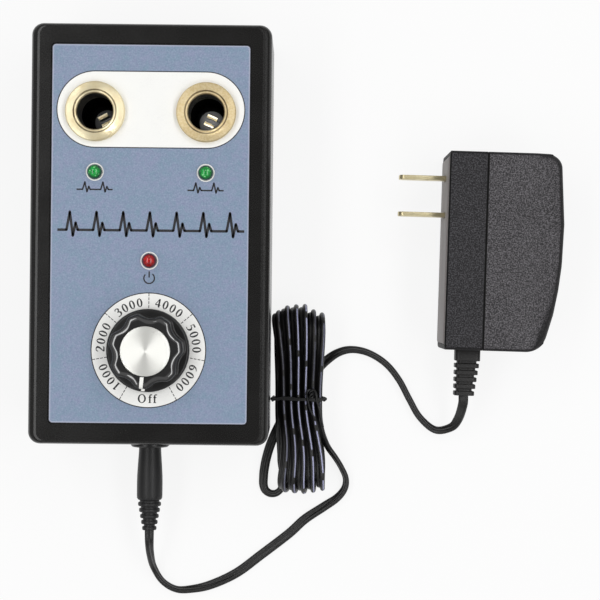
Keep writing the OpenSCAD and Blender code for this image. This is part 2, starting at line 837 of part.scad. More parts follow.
module earth_link() {
    reach = socket_x - tag_tail_reach;
    color(copper) translate([-reach, socket_y, panel_under - tag_t / 2]) rotate([0, 90, 0])
        cylinder(h = 2 * reach, r = tag_t / 2, $fn = 24);
}

module earth_lead() {
    x = socket_x - tag_tail_reach + 2;
    top = panel_under - tag_t;
    foot_y = board_north - 2.5;
    straight = 3;
    function between(along, up) = [x, lerp(foot_y, socket_y, along), lerp(board_top, top, up)];
    color([0.1, 0.35, 0.12]) wire([
        [x, socket_y, top], [x, socket_y, top - straight], between(0.6, 0.55), between(0.15, 0.3),
        [x, foot_y, board_top + straight], [x, foot_y, board_top]
    ], wire_r);
}

module filter_capacitor() {
    edge = 0.8;
    color([0.1, 0.14, 0.32]) translate([-capacitor_x, power_parts_y, board_top]) rotate_extrude()
        polygon([[0, 0], [capacitor_r, 0], [capacitor_r, capacitor_h - edge],
            [capacitor_r - edge, capacitor_h], [0, capacitor_h]]);
}

module timer_chip() {
    color(soft_black) translate([0, chip_y, board_top]) union() {
        translate([-chip_w / 2, -chip_l / 2, chip_lift]) cube([chip_w, chip_l, chip_h]);
        for (sx = [-1, 1], k = [-1.5 : 1 : 1.5])
            translate([sx * (chip_w / 2 + chip_leg / 2) - chip_leg, k * chip_leg_pitch - chip_leg / 2, 0])
                cube([2 * chip_leg, chip_leg, chip_lift + chip_h / 2]);
    }
}

module heat_sink() {
    color(steel) translate([capacitor_x, power_parts_y, board_top]) union() {
        translate([-sink_w / 2, 0, 0]) cube([sink_w, sink_t, sink_h]);
        for (x = [-sink_w / 2, sink_w / 2 - sink_t]) translate([x, 0, 0]) cube([sink_t, sink_fin, sink_h]);
    }
}

module switch_transistor() {
    color(soft_black) translate([capacitor_x, power_parts_y, board_top]) union() {
        translate([-transistor_w / 2, -transistor_t, sink_h - transistor_h])
            cube([transistor_w, transistor_t, transistor_h]);
        for (k = [-1 : 1]) translate([k * chip_leg_pitch - chip_leg / 2, -transistor_t / 2, 0])
            cube([chip_leg, chip_leg, sink_h - transistor_h / 2]);
    }
}

module jack_body() {
    edge = 0.5;
    flange_r = jack_flange_d / 2;
    body_l = jack_flange_t + jack_depth;
    color(soft_black) difference() {
        union() {
            along_y(jack_x, jack_front, jack_z) rotate_extrude() union() {
                polygon([[0, 0], [flange_r - edge, 0], [flange_r, edge],
                    [flange_r, jack_flange_t], [0, jack_flange_t]]);
                square([jack_thread_r, body_l]);
            }
            for (sx = [-1, 1])
                translate([jack_x + sx * jack_lug_x - lug_w / 2, jack_back - cut_over, jack_z - lug_w])
                    cube([lug_w, jack_lug_l + cut_over, lug_t]);
        }
        along_y(jack_x, jack_front - cut_over, jack_z)
            cylinder(h = jack_bore_depth + cut_over, r = barrel_r + fit_gap);
        along_y(jack_x, jack_front, jack_z) cylinder(h = body_l + cut_over, r = pin_d / 2 + run_gap);
    }
}

module jack_nut() {
    color(steel) along_y(jack_x, case_end + wall + rim_t, jack_z)
        hex_nut(jack_nut_flats, jack_thread_r + run_gap, jack_nut_t);
}

module jack_pin() {
    recess = 1.5;
    color(steel) along_y(jack_x, jack_front + recess, jack_z)
        cylinder(h = jack_flange_t + jack_depth - recess, r = pin_d / 2);
}

module jack_wires() {
    color(copper) for (sx = [-1, 1])
        translate([jack_x + sx * jack_lug_x, jack_back + jack_lug_l - lug_w / 2, board_top])
            cylinder(h = jack_z - lug_w - board_top, r = wire_r, $fn = 24);
}

// Moulded plug grip, which widens towards a ribbed boot
module plug_grip() {
    r = grip_d / 2;
    mouth_r = grip_mouth_d / 2;
    color(soft_black) along_y(jack_x, plug_end, jack_z) rotate_extrude() difference() {
        union() {
            translate([0, boot_l]) polygon([[0, 0], [r - grip_round, 0], [r, grip_round], [r, grip_l * 0.45],
                [mouth_r, grip_l * 0.95], [mouth_r, grip_l], [0, grip_l]]);
            for (k = [0 : boot_ribs - 1]) translate([0, k * boot_pitch])
                square([lerp(boot_d[1], boot_d[0], k / (boot_ribs - 1)) / 2, boot_rib_t]);
            polygon([[0, 0], [boot_d[1] / 2 - boot_core, 0], [boot_d[0] / 2 - boot_core, boot_l + cut_over],
                [0, boot_l + cut_over]]);
        }
        translate([0, boot_l + grip_l / 2]) square([barrel_r + run_gap, grip_l]);
    }
}

module plug_barrel() {
    lip = 0.4;
    tube_l = grip_l / 2 + barrel_l;
    color(steel) along_y(jack_x, jack_front - grip_l / 2, jack_z) rotate_extrude() difference() {
        polygon([[0, 0], [barrel_r, 0], [barrel_r, tube_l - lip], [barrel_r - lip, tube_l], [0, tube_l]]);
        translate([0, grip_l / 4]) square([barrel_core_r, tube_l]);
    }
}

// A stage of a turn: 0 at the waist on top, then over the far fold, back underneath, up over the near fold
function stage(i) = i % loop_steps;
function waist_share(y) = abs(y) >= run_half ? 0 : (1 + cos(180 * y / run_half)) / 2;
function fold_turn(s) = (s - run_steps - (s < half_loop ? 0 : half_loop)) * 180 / fold_steps;
function on_far_fold(s) = s > run_steps && s < run_steps + fold_steps;
function on_near_fold(s) = on_far_fold(s - half_loop);
function is_under(s) = s >= run_steps + fold_steps && s <= run_steps + half_loop;
function turn_y(s) =
    on_far_fold(s) ? run_half + fold_r * sin(fold_turn(s))
    : on_near_fold(s) ? -run_half - fold_r * sin(fold_turn(s))
    : is_under(s) ? run_half * (half_loop - s) / run_steps
    : s <= run_steps ? run_half * s / run_steps : run_half * (s - loop_steps) / run_steps;
function turn_z(s) =
    on_far_fold(s) ? fold_mid + fold_r * cos(fold_turn(s))
    : on_near_fold(s) ? fold_mid - fold_r * cos(fold_turn(s))
    : is_under(s) ? lerp(fold_under, waist_under, waist_share(turn_y(s)))
    : lerp(fold_over, waist_over, waist_share(turn_y(s)));
function turn_x(i, y) =
    hank_x + (hank_centre - i / loop_steps) * lerp(end_pitch, waist_pitch, waist_share(y))
    + (y < 0 ? south_shift * (1 - waist_share(y)) : 0);
function turn_lean(i, y, z) =
    lookup(i / loop_steps, y < 0 ? near_lean : far_lean)
    * pow(min(max((abs(y) - lean_from) / lean_run, 0), 1), 1.5)
    * min(max((z - fold_under) / (fold_over - fold_under), 0), 1);
function turn_reach(i, y) =
    lookup(i / loop_steps, y < 0 ? near_reach : far_reach) * y * abs(y) / pow(run_half + fold_r, 2);
function hank_at(i) =
    let (s = stage(i), y = turn_y(s), z = turn_z(s))
    corner_at + [turn_x(i, y) + turn_lean(i, y, z), hank_y + y + turn_reach(i, y), z];
function hank_outward(s) =
    on_far_fold(s) ? [0, sin(fold_turn(s)), cos(fold_turn(s))]
    : on_near_fold(s) ? [0, -sin(fold_turn(s)), -cos(fold_turn(s))]
    : is_under(s) ? [0, 0, -1] : [0, 0, 1];
function hank_across(i) =
    let (s = stage(i), a = lerp(lay_ends, lay, sqrt(waist_share(turn_y(s)))))
    cos(a) * [1, 0, 0] + sin(a) * hank_outward(s);
hank_path = [for (i = [0 : hank_last]) hank_at(i)];
hank_in = [0, 1, 0];
hank_off = hank_path[hank_last] - hank_path[hank_last - 1];
hank_out = unit([hank_off[0], hank_off[1], 0]);
hank_start = hank_path[0] - cord_w * hank_in;
hank_end = hank_path[hank_last] + cord_w * hank_out;
hank_rings = concat(
    [ring_at(hank_start, hank_in, hank_across(0), hex_section)],
    [for (i = [0 : hank_last])
        ring_at(hank_path[i], i == 0 ? hank_in : i == hank_last ? hank_out : heading(hank_path, i),
            hank_across(i), hex_section)],
    [ring_at(hank_end, hank_out, hank_across(hank_last), hex_section)]
);

// Least gap between two stretches of the hank: the widest clear strip between their rings' corners
function ring_plane(r) = unit(cross(r[2] - r[0], r[1] - r[0]));
function ring_normals(r) =
    let (n = ring_plane(r))
    concat([n], [for (j = [0 : 2]) unit(cross(r[j + 1] - r[j], n))]);
function spread(r, n) = [for (p = r) p * n];
function strip(a, b, n) = max(min(spread(b, n)) - max(spread(a, n)), min(spread(a, n)) - max(spread(b, n)));
function ring_gap(a, b) =
    max([for (n = concat([unit(b[0] - a[0])], ring_normals(a), ring_normals(b))) strip(a, b, n)]);
function hank_gap() = min([
    for (i = [0 : len(hank_rings) - 1], j = [i + fold_steps + 2 : 1 : len(hank_rings) - 1])
        if (norm(hank_rings[i][0] - hank_rings[j][0]) < 3 * cord_w) ring_gap(hank_rings[i], hank_rings[j])
]);

module cord_hank() {
    echo(hank_least_gap = hank_gap());
    color(soft_black) ring_tube(hank_rings);
}

// Free lead from the plug's boot to the hank, measured from the boot, the case's corner and the hank
plug_exit = [jack_x, plug_end, jack_z];
plug_route = concat(
    [for (p = [
        [0, 0, 0], [0, -4, -0.6], [0, -9, -5], [0.8, -14.5, -10.2], [3.8, -19.8, -12.1],
        [8.6, -22.6, -12.2], [14, -22.6, -12.4], [21, -21, -12.6]
    ]) plug_exit + p],
    [for (p = [
        [-11.5, -48.6, 1.1], [-3, -42.2, 1.1], [7, -34.4, 1.1], [12.6, -29.2, 1.3], [19.4, -24.6, 1.6],
        [24, -21.4, 1.8], [26.6, -18, 1.9], [27, -14.4, 2.1], [25.4, -10.6, 2.6], [23.2, -7, 3.6]
    ]) corner_at + p],
    [for (p = [
        [3.6, -14, -4.6], [1.9, -10.4, -2.4], [0.8, -7, -0.9], [0.2, -3.4, -0.1], [0, 0, 0]
    ]) hank_start + p]
);
plug_roll = [30, 40, 60, 75, 80, 76, 60, 36, 12, 4, 4, 10, 30, 50, 66, 74, 76, 74, 70, 66, 62, 60, lay];

// Free lead from the hank: round a flat loop, back under the waist and over to the adapter
relief_end = adapter_point([relief_x - (relief_w - relief_end_w) / 2, -half_l - relief_l, half_t]);
relief_ahead = adapter_point([0, 1, 0]) - adapter_point([0, 0, 0]);
adapter_route = concat(
    [hank_end, hank_end + [0, -2.6, -0.1]],
    [for (p = [
        [4.4, -12, 2], [4.4, -14.6, 1.95], [4.4, -16.9, 1.85], [3.77, -18.85, 1.75], [2.1, -20.05, 1.65],
        [0.1, -20.05, 1.55], [-1.55, -18.85, 1.5], [-2.2, -16.9, 1.45], [-2.2, -14.4, 1.4], [-2, -11.8, 1.35],
        [-1.2, -7.4, 1.3], [0.3, -2.4, 1.15], [2.8, 3.4, 1],
        [6.2, 9.8, 0.95], [10.6, 16.4, 0.95], [15, 22.2, 0.95], [19.4, 27, 1.2], [24, 30.2, 1.6],
        [29, 31.3, 1.8], [35, 30, 1.9], [41, 26.2, 1.9], [45.6, 20.6, 1.9], [49.2, 14, 1.9],
        [53, 7.6, 1.9], [58.4, 3.2, 2.6], [63.6, 4.2, 5.4], [66, 7.4, 8.6]
    ]) corner_at + p],
    [relief_end - 3.4 * relief_ahead + [0, 0, -1.2], relief_end]
);
adapter_roll = [
    51, 60, 66, 65, 64, 60, 54, 46, 38, 31, 25, 20, 16, 10, 4, 0, 0, 0, 20, 44, 60, 66, 66, 66, 66, 66, 60,
    48, 28, 10, 0
];

function roll_at(rolls, i, steps) =
    let (k = floor(i / steps), f = i / steps - k)
    k >= len(rolls) - 1 ? rolls[len(rolls) - 1] : lerp(rolls[k], rolls[k + 1], f);

// Flat lead along a route that starts and ends square to what it meets
module flat_lead(route, rolls, first_ahead, last_ahead, steps = 3) {
    p = route_curve(route, steps);
    n = len(p) - 1;
    color(soft_black) ring_tube([for (i = [0 : n])
        let (ahead = i == 0 ? first_ahead : i == n ? last_ahead : heading(p, i))
        ring_at(p[i], ahead, rolled(ahead, roll_at(rolls, i, steps)), oct_section)]);
}

module cord_plug_run() {
    flat_lead(plug_route, plug_roll, [0, -1, 0], hank_in);
}

module cord_adapter_run() {
    flat_lead(adapter_route, adapter_roll, hank_out, relief_ahead);
}

// Twist tie: a band round the waist with a twisted knot and two tails
module cord_tie() {
    band_x = hank_centre * waist_pitch + lay_spread + tie_gap;
    band_low = waist_under - lay_rise - tie_gap;
    band_high = waist_over + lay_rise + tie_gap;
    band_h = band_high - band_low;
    twist_l = tie_knot_l / 3;
    color(soft_black) translate(corner_at + [hank_x, hank_y, 0]) union() {
        translate([0, tie_w / 2, (band_low + band_high) / 2]) rotate([90, 0, 0]) linear_extrude(tie_w)
            difference() {
                rounded_rect(2 * band_x + 2 * tie_t, band_h + 2 * tie_t, tie_round + tie_t);
                rounded_rect(2 * band_x, band_h, tie_round);
            }
        for (k = [0 : 2]) translate([tie_knot_x + (k - 1) * twist_l, 0, band_high + tie_t * 1.4])
            rotate([0, 90, 0]) rotate(k * 40) translate([0, 0, -twist_l / 2])
                cube([2 * tie_t, tie_w * 0.8, twist_l + 2 * fit_gap], center = true);
        for (a = tie_tail_turns) translate([tie_knot_x + twist_l, a < 0 ? -tie_t : 0, band_high + tie_t])
            rotate(a) cube([tie_tail_l, tie_t, tie_t]);
    }
}

// Adapter, in a frame whose X runs in from its face and whose Y runs away from its lead
function adapter_point(p) =
    let (c = cos(adapter_turn), s = sin(adapter_turn))
    adapter_at + [c * p[0] + s * p[1], c * p[1] - s * p[0], p[2]];

module at_adapter() {
    translate(adapter_at) rotate(-adapter_turn) children();
}

module adapter_slab(x, l, t, inset, h) {
    r = shell_round;
    for (sy = [-1, 1], sz = [-1, 1])
        translate([x, sy * (l / 2 - r - inset), half_t + sz * (t / 2 - r - inset)]) rotate([0, 90, 0])
            cylinder(h = h, r = r, $fn = 32);
}

// Back outline: corner circles as distance in from the back, distance along the length, and radius
back_corners = [
    [1.2, half_l - 5, 5], [0, 10, 12], [0.4, -3, 12], [1.3, -11, 12], [2.6, -18.5, 10],
    [4.7, -half_l + 7.5, 7.5]
];

module adapter_back_block(inset) {
    z = back_slope + inset;
    hull() {
        for (x = [base_depth, adapter_depth - back_slope_run])
            adapter_slab(x, adapter_l, adapter_t, inset, slice_t);
        for (c = back_corners) translate([adapter_depth - c[0] - c[2], c[1], z])
            cylinder(h = adapter_t - 2 * z, r = c[2] - inset, $fn = 48);
    }
}

module adapter_face() {
    color([0.62, 0.61, 0.60]) at_adapter() difference() {
        translate([0, 0, half_t]) rotate([90, 0, 90])
            linear_extrude(face_t)
                rounded_rect(adapter_l - 2 * face_edge, adapter_t - 2 * face_edge, shell_round);
        for (sy = [-1, 1]) translate([-cut_over, blade_y + sy * blade_pitch / 2 - blade_t / 2 - run_gap,
            half_t - blade_w / 2 - run_gap])
            cube([face_t + 2 * cut_over, blade_t + 2 * run_gap, blade_w + 2 * run_gap]);
    }
}

module adapter_base() {
    color(charcoal) at_adapter() difference() {
        hull() {
            adapter_slab(face_proud, adapter_l, adapter_t, face_chamfer, slice_t);
            adapter_slab(face_proud + face_chamfer, adapter_l, adapter_t, 0,
                base_depth - face_proud - face_chamfer);
        }
        translate([-cut_over, 0, half_t]) rotate([90, 0, 90]) linear_extrude(face_t + cut_over)
            rounded_rect(adapter_l - 2 * face_edge + 2 * fit_gap, adapter_t - 2 * face_edge + 2 * fit_gap,
                shell_round + fit_gap);
        translate([face_t + adapter_wall, 0, half_t]) rotate([90, 0, 90]) linear_extrude(base_depth)
            rounded_rect(adapter_l - 2 * adapter_wall, adapter_t - 2 * adapter_wall, shell_round);
        for (sy = [-1, 1]) translate([0, blade_y + sy * blade_pitch / 2 - blade_t / 2 - run_gap,
            half_t - blade_w / 2 - run_gap])
            cube([base_depth, blade_t + 2 * run_gap, blade_w + 2 * run_gap]);
        relief_neck(fit_gap);
    }
}

module adapter_back() {
    color(charcoal) at_adapter() difference() {
        adapter_back_block(0);
        translate([-slice_t, 0, 0]) adapter_back_block(adapter_wall);
    }
}

module blade_outline() {
    translate([-blade_l + blade_tip_r, -blade_w / 2])
        square([blade_l - blade_tip_r + adapter_board_x, blade_w]);
    translate([-blade_l, -blade_w / 2 + blade_tip_r])
        square([2 * blade_tip_r, blade_w - 2 * blade_tip_r]);
    for (sz = [-1, 1]) translate([-blade_l + blade_tip_r, sz * (blade_w / 2 - blade_tip_r)])
        circle(blade_tip_r);
}

module adapter_blades() {
    color(brass) at_adapter() for (sy = [-1, 1])
        translate([0, blade_y + sy * blade_pitch / 2 + blade_t / 2, half_t]) rotate([90, 0, 0])
            linear_extrude(blade_t) blade_outline();
}

// Neck of the strain relief where it passes through the adapter's wall
module relief_neck(extra) {
    translate([relief_x, -half_l - cut_over, half_t]) rotate([-90, 0, 0])
        linear_extrude(adapter_wall + cut_over + relief_root)
            rounded_rect(relief_neck_w + 2 * extra, relief_neck_h + 2 * extra, relief_round);
}

module relief_block(edge_x, y, w, h, l) {
    translate([edge_x + w / 2, y, half_t]) rotate([-90, 0, 0]) linear_extrude(l)
        rounded_rect(w, h, relief_round);
}

module adapter_relief() {
    edge_x = relief_x - relief_w / 2;
    color(soft_black) at_adapter() union() {
        relief_neck(0);
        relief_block(edge_x, -half_l - relief_collar, relief_w, relief_h, relief_collar);
        for (k = [1 : relief_ribs]) {
            w = lerp(relief_w, relief_end_w, k / relief_ribs);
            y = -half_l - relief_collar - k * relief_pitch;
            relief_block(edge_x, y, w, relief_h, relief_rib_t);
            relief_block(edge_x + relief_core, y, w - 2 * relief_core, relief_h - 2 * relief_core,
                relief_pitch + fit_gap);
        }
    }
}

module adapter_board() {
    edge = adapter_wall + adapter_board_gap;
    color(board_green) at_adapter() translate([adapter_board_x, -half_l + edge, edge])
        cube([board_t, adapter_l - 2 * edge, adapter_t - 2 * edge]);
}

module adapter_transformer() {
    color([0.75, 0.65, 0.2]) at_adapter()
        translate([adapter_parts_x + winding[0] / 2, transformer_y, half_t]) union() {
            cube(winding, center = true);
            cube(winding_core, center = true);
        }
}

module adapter_capacitor() {
    color([0.1, 0.14, 0.32]) at_adapter() translate([adapter_parts_x, reservoir_y, half_t])
        rotate([0, 90, 0]) cylinder(h = reservoir_l, r = reservoir_r);
}

top_cover();
bottom_cover();
cover_screws();
front_label();
socket_collar(-1);  // socket_collar_left
socket_collar(1);  // socket_collar_right
earth_tag(-1);  // earth_tag_left
earth_tag(1);  // earth_tag_right
collar_nut(-1);  // collar_nut_left
collar_nut(1);  // collar_nut_right
insulator_cup(-1);  // insulator_cup_left
insulator_cup(1);  // insulator_cup_right
terminal_clip(-1);  // terminal_clip_left
terminal_clip(1);  // terminal_clip_right
lamp(-socket_x, signal_y, [0.1, 0.55, 0.25]);  // signal_lamp_left
lamp(socket_x, signal_y, [0.1, 0.55, 0.25]);  // signal_lamp_right
lamp(0, power_y, [0.8, 0.1, 0.1]);  // power_lamp
knob_body();
knob_cap();
knob_pointer();
control_shaft();
control_body();
control_bush();
control_washer();
control_nut();
control_switch();
control_wires();
main_board();
board_screws();
coil_case(-1);  // coil_case_left
coil_case(1);  // coil_case_right
coil_core(-1);  // coil_core_left
coil_core(1);  // coil_core_right
spark_lead(-1);  // spark_lead_left
spark_lead(1);  // spark_lead_right
earth_link();
earth_lead();
filter_capacitor();
timer_chip();
switch_transistor();
heat_sink();
jack_body();
jack_nut();
jack_pin();
jack_wires();
plug_grip();
plug_barrel();
cord_plug_run();
cord_hank();
cord_tie();
cord_adapter_run();
adapter_face();
adapter_base();
adapter_back();
adapter_blades();
adapter_relief();
adapter_board();
adapter_transformer();
adapter_capacitor();
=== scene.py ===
"""Looks of a bench tester for spark plugs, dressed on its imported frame.

The case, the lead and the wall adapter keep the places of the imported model. Sizes are in millimetres and
become metres when a mesh is made. +X points to the adapter, +Y to the sockets and +Z up.
"""

from __future__ import annotations

import json
import logging
import math
from dataclasses import dataclass, field
from enum import Enum
from typing import Any, Callable, ClassVar, Iterable, Optional, Sequence, Union

import bmesh
import bpy
import numpy as np
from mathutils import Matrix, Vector
from mathutils.geometry import tessellate_polygon

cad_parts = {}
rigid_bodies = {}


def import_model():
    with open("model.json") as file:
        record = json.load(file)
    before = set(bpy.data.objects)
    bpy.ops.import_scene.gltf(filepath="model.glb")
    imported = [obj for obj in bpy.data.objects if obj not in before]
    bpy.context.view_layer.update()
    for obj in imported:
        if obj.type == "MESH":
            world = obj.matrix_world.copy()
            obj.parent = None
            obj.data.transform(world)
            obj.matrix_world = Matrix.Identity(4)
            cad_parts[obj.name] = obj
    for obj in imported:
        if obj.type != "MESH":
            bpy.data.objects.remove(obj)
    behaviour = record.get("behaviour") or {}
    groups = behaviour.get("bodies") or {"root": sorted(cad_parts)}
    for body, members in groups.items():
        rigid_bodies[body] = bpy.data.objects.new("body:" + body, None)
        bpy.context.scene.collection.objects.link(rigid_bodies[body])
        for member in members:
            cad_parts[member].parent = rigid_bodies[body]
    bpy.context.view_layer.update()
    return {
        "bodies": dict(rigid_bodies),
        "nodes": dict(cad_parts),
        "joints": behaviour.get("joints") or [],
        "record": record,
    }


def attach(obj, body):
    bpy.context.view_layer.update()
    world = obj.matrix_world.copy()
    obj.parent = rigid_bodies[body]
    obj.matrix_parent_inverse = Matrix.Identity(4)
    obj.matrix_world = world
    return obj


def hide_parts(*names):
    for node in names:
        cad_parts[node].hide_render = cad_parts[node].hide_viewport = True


MM = 0.001
SOCKET_X, SOCKET_Y = 18.4, 40.5
LABEL_TOP = 41.6
KNOB_Y = -38.5
LAMP_PLACES = ((-SOCKET_X, 20.5), (SOCKET_X, 20.5), (0.0, -8.8))
LOG = logging.getLogger("plug_tester")

Pair = tuple[float, float]
Triple = tuple[float, float, float]
Loop = list[Pair]
Faces = list[tuple[int, ...]]
Value = Union["Wire", float]
Tint = Union["Wire", Triple]
Cut = tuple[float, int, float, Optional[Callable[[np.ndarray], bool]]]


def tone(red: float, green: float, blue: float) -> Triple:
    """Turn a colour of 0 to 255, as a screen shows it, into the linear colour that a shader takes.

    Args:
        red: Red share.
        green: Green share.
        blue: Blue share.

    Returns:
        The linear colour.
    """
    shares = (red / 255, green / 255, blue / 255)
    return tuple(s / 12.92 if s <= 0.04045 else ((s + 0.055) / 1.055) ** 2.4 for s in shares)


class Body(Enum):
    """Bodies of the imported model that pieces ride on."""

    CASE = "case"
    KNOB = "knob"
    LEAD = "lead"


class Side(Enum):
    """The two sockets, by their place along X."""

    LEFT = -1
    RIGHT = 1


# Shaders


class Wire:
    """A number's socket, which Python's operators combine through Math nodes."""

    def __init__(self, graph: "Graph", socket: bpy.types.NodeSocket) -> None:
        """Keep the socket and the graph it lies in."""
        self.graph = graph
        self.socket = socket

    def __add__(self, other: Value) -> "Wire":
        """Sum of two values."""
        return self.graph.math("ADD", self, other)

    __radd__ = __add__

    def __sub__(self, other: Value) -> "Wire":
        """Difference of two values."""
        return self.graph.math("SUBTRACT", self, other)

    def __rsub__(self, other: float) -> "Wire":
        """A number less this value."""
        return self.graph.math("SUBTRACT", other, self)

    def __mul__(self, other: Value) -> "Wire":
        """Product of two values."""
        return self.graph.math("MULTIPLY", self, other)

    __rmul__ = __mul__

    def __truediv__(self, other: Value) -> "Wire":
        """Quotient of two values."""
        return self.graph.math("DIVIDE", self, other)

    def __pow__(self, other: Value) -> "Wire":
        """This value to a power."""
        return self.graph.math("POWER", self, other)

    def __mod__(self, other: Value) -> "Wire":
        """Rest of this value, never below zero."""
        return self.graph.math("FLOORED_MODULO", self, other)

    def __abs__(self) -> "Wire":
        """Size of this value without its sign."""
        return self.graph.math("ABSOLUTE", self)

    def wave(self) -> "Wire":
        """Sine of this value."""
        return self.graph.math("SINE", self)

    def most(self, other: Value) -> "Wire":
        """The greater of two values."""
        return self.graph.math("MAXIMUM", self, other)

    def rise(self, low: float, high: float) -> "Wire":
        """Soft step from 0 at low to 1 at high, or falling where low is the greater.

        Args:
            low: Value at which the step is 0.
            high: Value at which the step is 1.

        Returns:
            The step.
        """
        return self.graph.add("ShaderNodeMapRange", {"interpolation_type": "SMOOTHSTEP", "clamp": True},
                              {"Value": self, "From Min": low, "From Max": high})


class Graph:
    """The node tree of a material or of the sky."""

    def __init__(self, owner: Union[bpy.types.Material, bpy.types.World], output: str = "Material") -> None:
        """Start an empty tree with an output.

        Args:
            owner: The material or the sky.
            output: What the output is for, Material or World.
        """
        owner.use_nodes = True
        self.tree = owner.node_tree
        self.tree.nodes.clear()
        self.output = self.tree.nodes.new("ShaderNodeOutput" + output)

    def show(self, shader: Wire) -> None:
        """Lead a shader to the output."""
        self.tree.links.new(shader.socket, self.output.inputs["Surface"])

    def feed(self, socket: bpy.types.NodeSocket, value: Any) -> None:
        """Link a wire to a socket, or set the socket's own value.

        Args:
            socket: The socket to feed.
            value: A wire, a number, a vector or a colour.
        """
        if isinstance(value, Wire):
            self.tree.links.new(value.socket, socket)
        elif socket.type == "RGBA":
            socket.default_value = (*value, 1.0)
        else:
            socket.default_value = value

    def add(self, kind: str, settings: Optional[dict[str, Any]] = None,
            inputs: Optional[dict[Union[str, int], Any]] = None, out: Union[str, int] = 0) -> Wire:
        """Add a node.

        Args:
            kind: The node's type.
            settings: Its properties, set first. A ramp's stops are (place, colour) pairs.
            inputs: Values or wires of its sockets, by name or number.
            out: The output to take.

        Returns:
            The wire of that output.
        """
        node = self.tree.nodes.new(kind)
        for key, value in (settings or {}).items():
            if key == "stops":
                self.set_stops(node.color_ramp, value)
            else:
                setattr(node, key, value)
        for key, value in (inputs or {}).items():
            self.feed(node.inputs[key], value)
        return Wire(self, node.outputs[out])

    @staticmethod
    def set_stops(ramp: bpy.types.ColorRamp, stops: Sequence[tuple[float, Triple]]) -> None:
        """Set a ramp's stops.

        Args:
            ramp: The ramp.
            stops: Place and colour of each stop.
        """
        while len(ramp.elements) < len(stops):
            ramp.elements.new(1.0)
        for element, (place, colour) in zip(ramp.elements, stops):
            element.position = place
            element.color = (*colour, 1.0)

    def math(self, operation: str, *values: Value) -> Wire:
        """Add a Math node on one or two values."""
        return self.add("ShaderNodeMath", {"operation": operation}, dict(enumerate(values)))

    def blend(self, share: Value, low: Tint, high: Tint) -> Wire:
        """Mix two colours.

        Args:
            share: 0 for the first colour, 1 for the second.
            low: First colour.
            high: Second colour.

        Returns:
            The mixed colour.
        """
        return self.add("ShaderNodeMix", {"data_type": "RGBA"}, {0: share, 6: low, 7: high}, out=2)

    def place(self) -> Wire:
        """Place on the object, in metres of the shared frame."""
        return self.add("ShaderNodeTexCoord", out="Object")

    def axes(self) -> tuple[Wire, Wire, Wire]:
        """Place on the object along each axis, in millimetres."""
        split = self.add("ShaderNodeSeparateXYZ", inputs={"Vector": self.place()}).socket.node
        return tuple(Wire(self, split.outputs[k]) * (1 / MM) for k in range(3))

    def off_axis(self, centre: Pair) -> Wire:
        """Distance from an upright line, in millimetres.

        Args:
            centre: Where the line stands.

        Returns:
            The distance.
        """
        x, y, _ = self.axes()
        return ((x - centre[0]) ** 2 + (y - centre[1]) ** 2) ** 0.5

    def noise(self, size: float, detail: float = 2.0, stretch: Triple = (1.0, 1.0, 1.0)) -> Wire:
        """Soft noise about 0.5.

        Args:
            size: Size of its blotches in millimetres.
            detail: Number of finer layers.
            stretch: Crowding along each axis.

        Returns:
            The noise value.
        """
        at = self.add("ShaderNodeMapping", inputs={"Vector": self.place(), "Scale": stretch})
        return self.add("ShaderNodeTexNoise", inputs={"Vector": at, "Scale": 1 / (size * MM), "Detail": detail})

    def specks(self, size: float) -> Wire:
        """Distance from scattered points, for specks and flakes of about a size in millimetres."""
        return self.add("ShaderNodeTexVoronoi", inputs={"Vector": self.place(), "Scale": 1 / (size * MM)})

    def level(self) -> Wire:
        """How level the surface lies: 1 where it faces up, 0 where it stands upright."""
        normal = self.add("ShaderNodeNewGeometry", out="Normal")
        return self.add("ShaderNodeSeparateXYZ", inputs={"Vector": normal}, out="Z")

    def mark(self, name: str) -> Wire:
        """A number that a mesh carries on its points."""
        return self.add("ShaderNodeAttribute", {"attribute_name": name}, out="Fac")

    def relief(self, height: Wire, depth: float, strength: float = 1.0) -> Wire:
        """Bump from a height of 0 to 1.

        Args:
            height: The height.
            depth: What 1 stands for, in millimetres.
            strength: Share of the bump that shows.

        Returns:
            The bent normal.
        """
        return self.add("ShaderNodeBump", inputs={"Height": height, "Distance": depth * MM, "Strength": strength})

    def surface(self, base: Tint, rough: Value, normal: Optional[Wire] = None, metallic: Value = 0.0,
                coat: Value = 0.0, fixed: Optional[dict[str, Any]] = None) -> None:
        """Add the surface shader.

        Args:
            base: Colour.
            rough: Roughness.
            normal: Bent normal.
            metallic: Share of metal.
            coat: Share of clear coat.
            fixed: Other sockets, each with one value all over.
        """
        feeds = {"Base Color": base, "Roughness": rough, "Metallic": metallic, "Coat Weight": coat, **(fixed or {})}
        if normal is not None:
            feeds["Normal"] = normal
        self.show(self.add("ShaderNodeBsdfPrincipled", inputs=feeds))


# Finishes


@dataclass(frozen=True)
class Finish:
    """A finish that paints its material once."""

    name: str
    made: ClassVar[dict[str, bpy.types.Material]] = {}

    def paint(self, graph: Graph) -> None:
        """Build the finish's nodes."""
        raise NotImplementedError

    def material(self) -> bpy.types.Material:
        """The finish's material, built at first use."""
        if self.name not in Finish.made:
            Finish.made[self.name] = bpy.data.materials.new(self.name)
            self.paint(Graph(Finish.made[self.name]))
        return Finish.made[self.name]


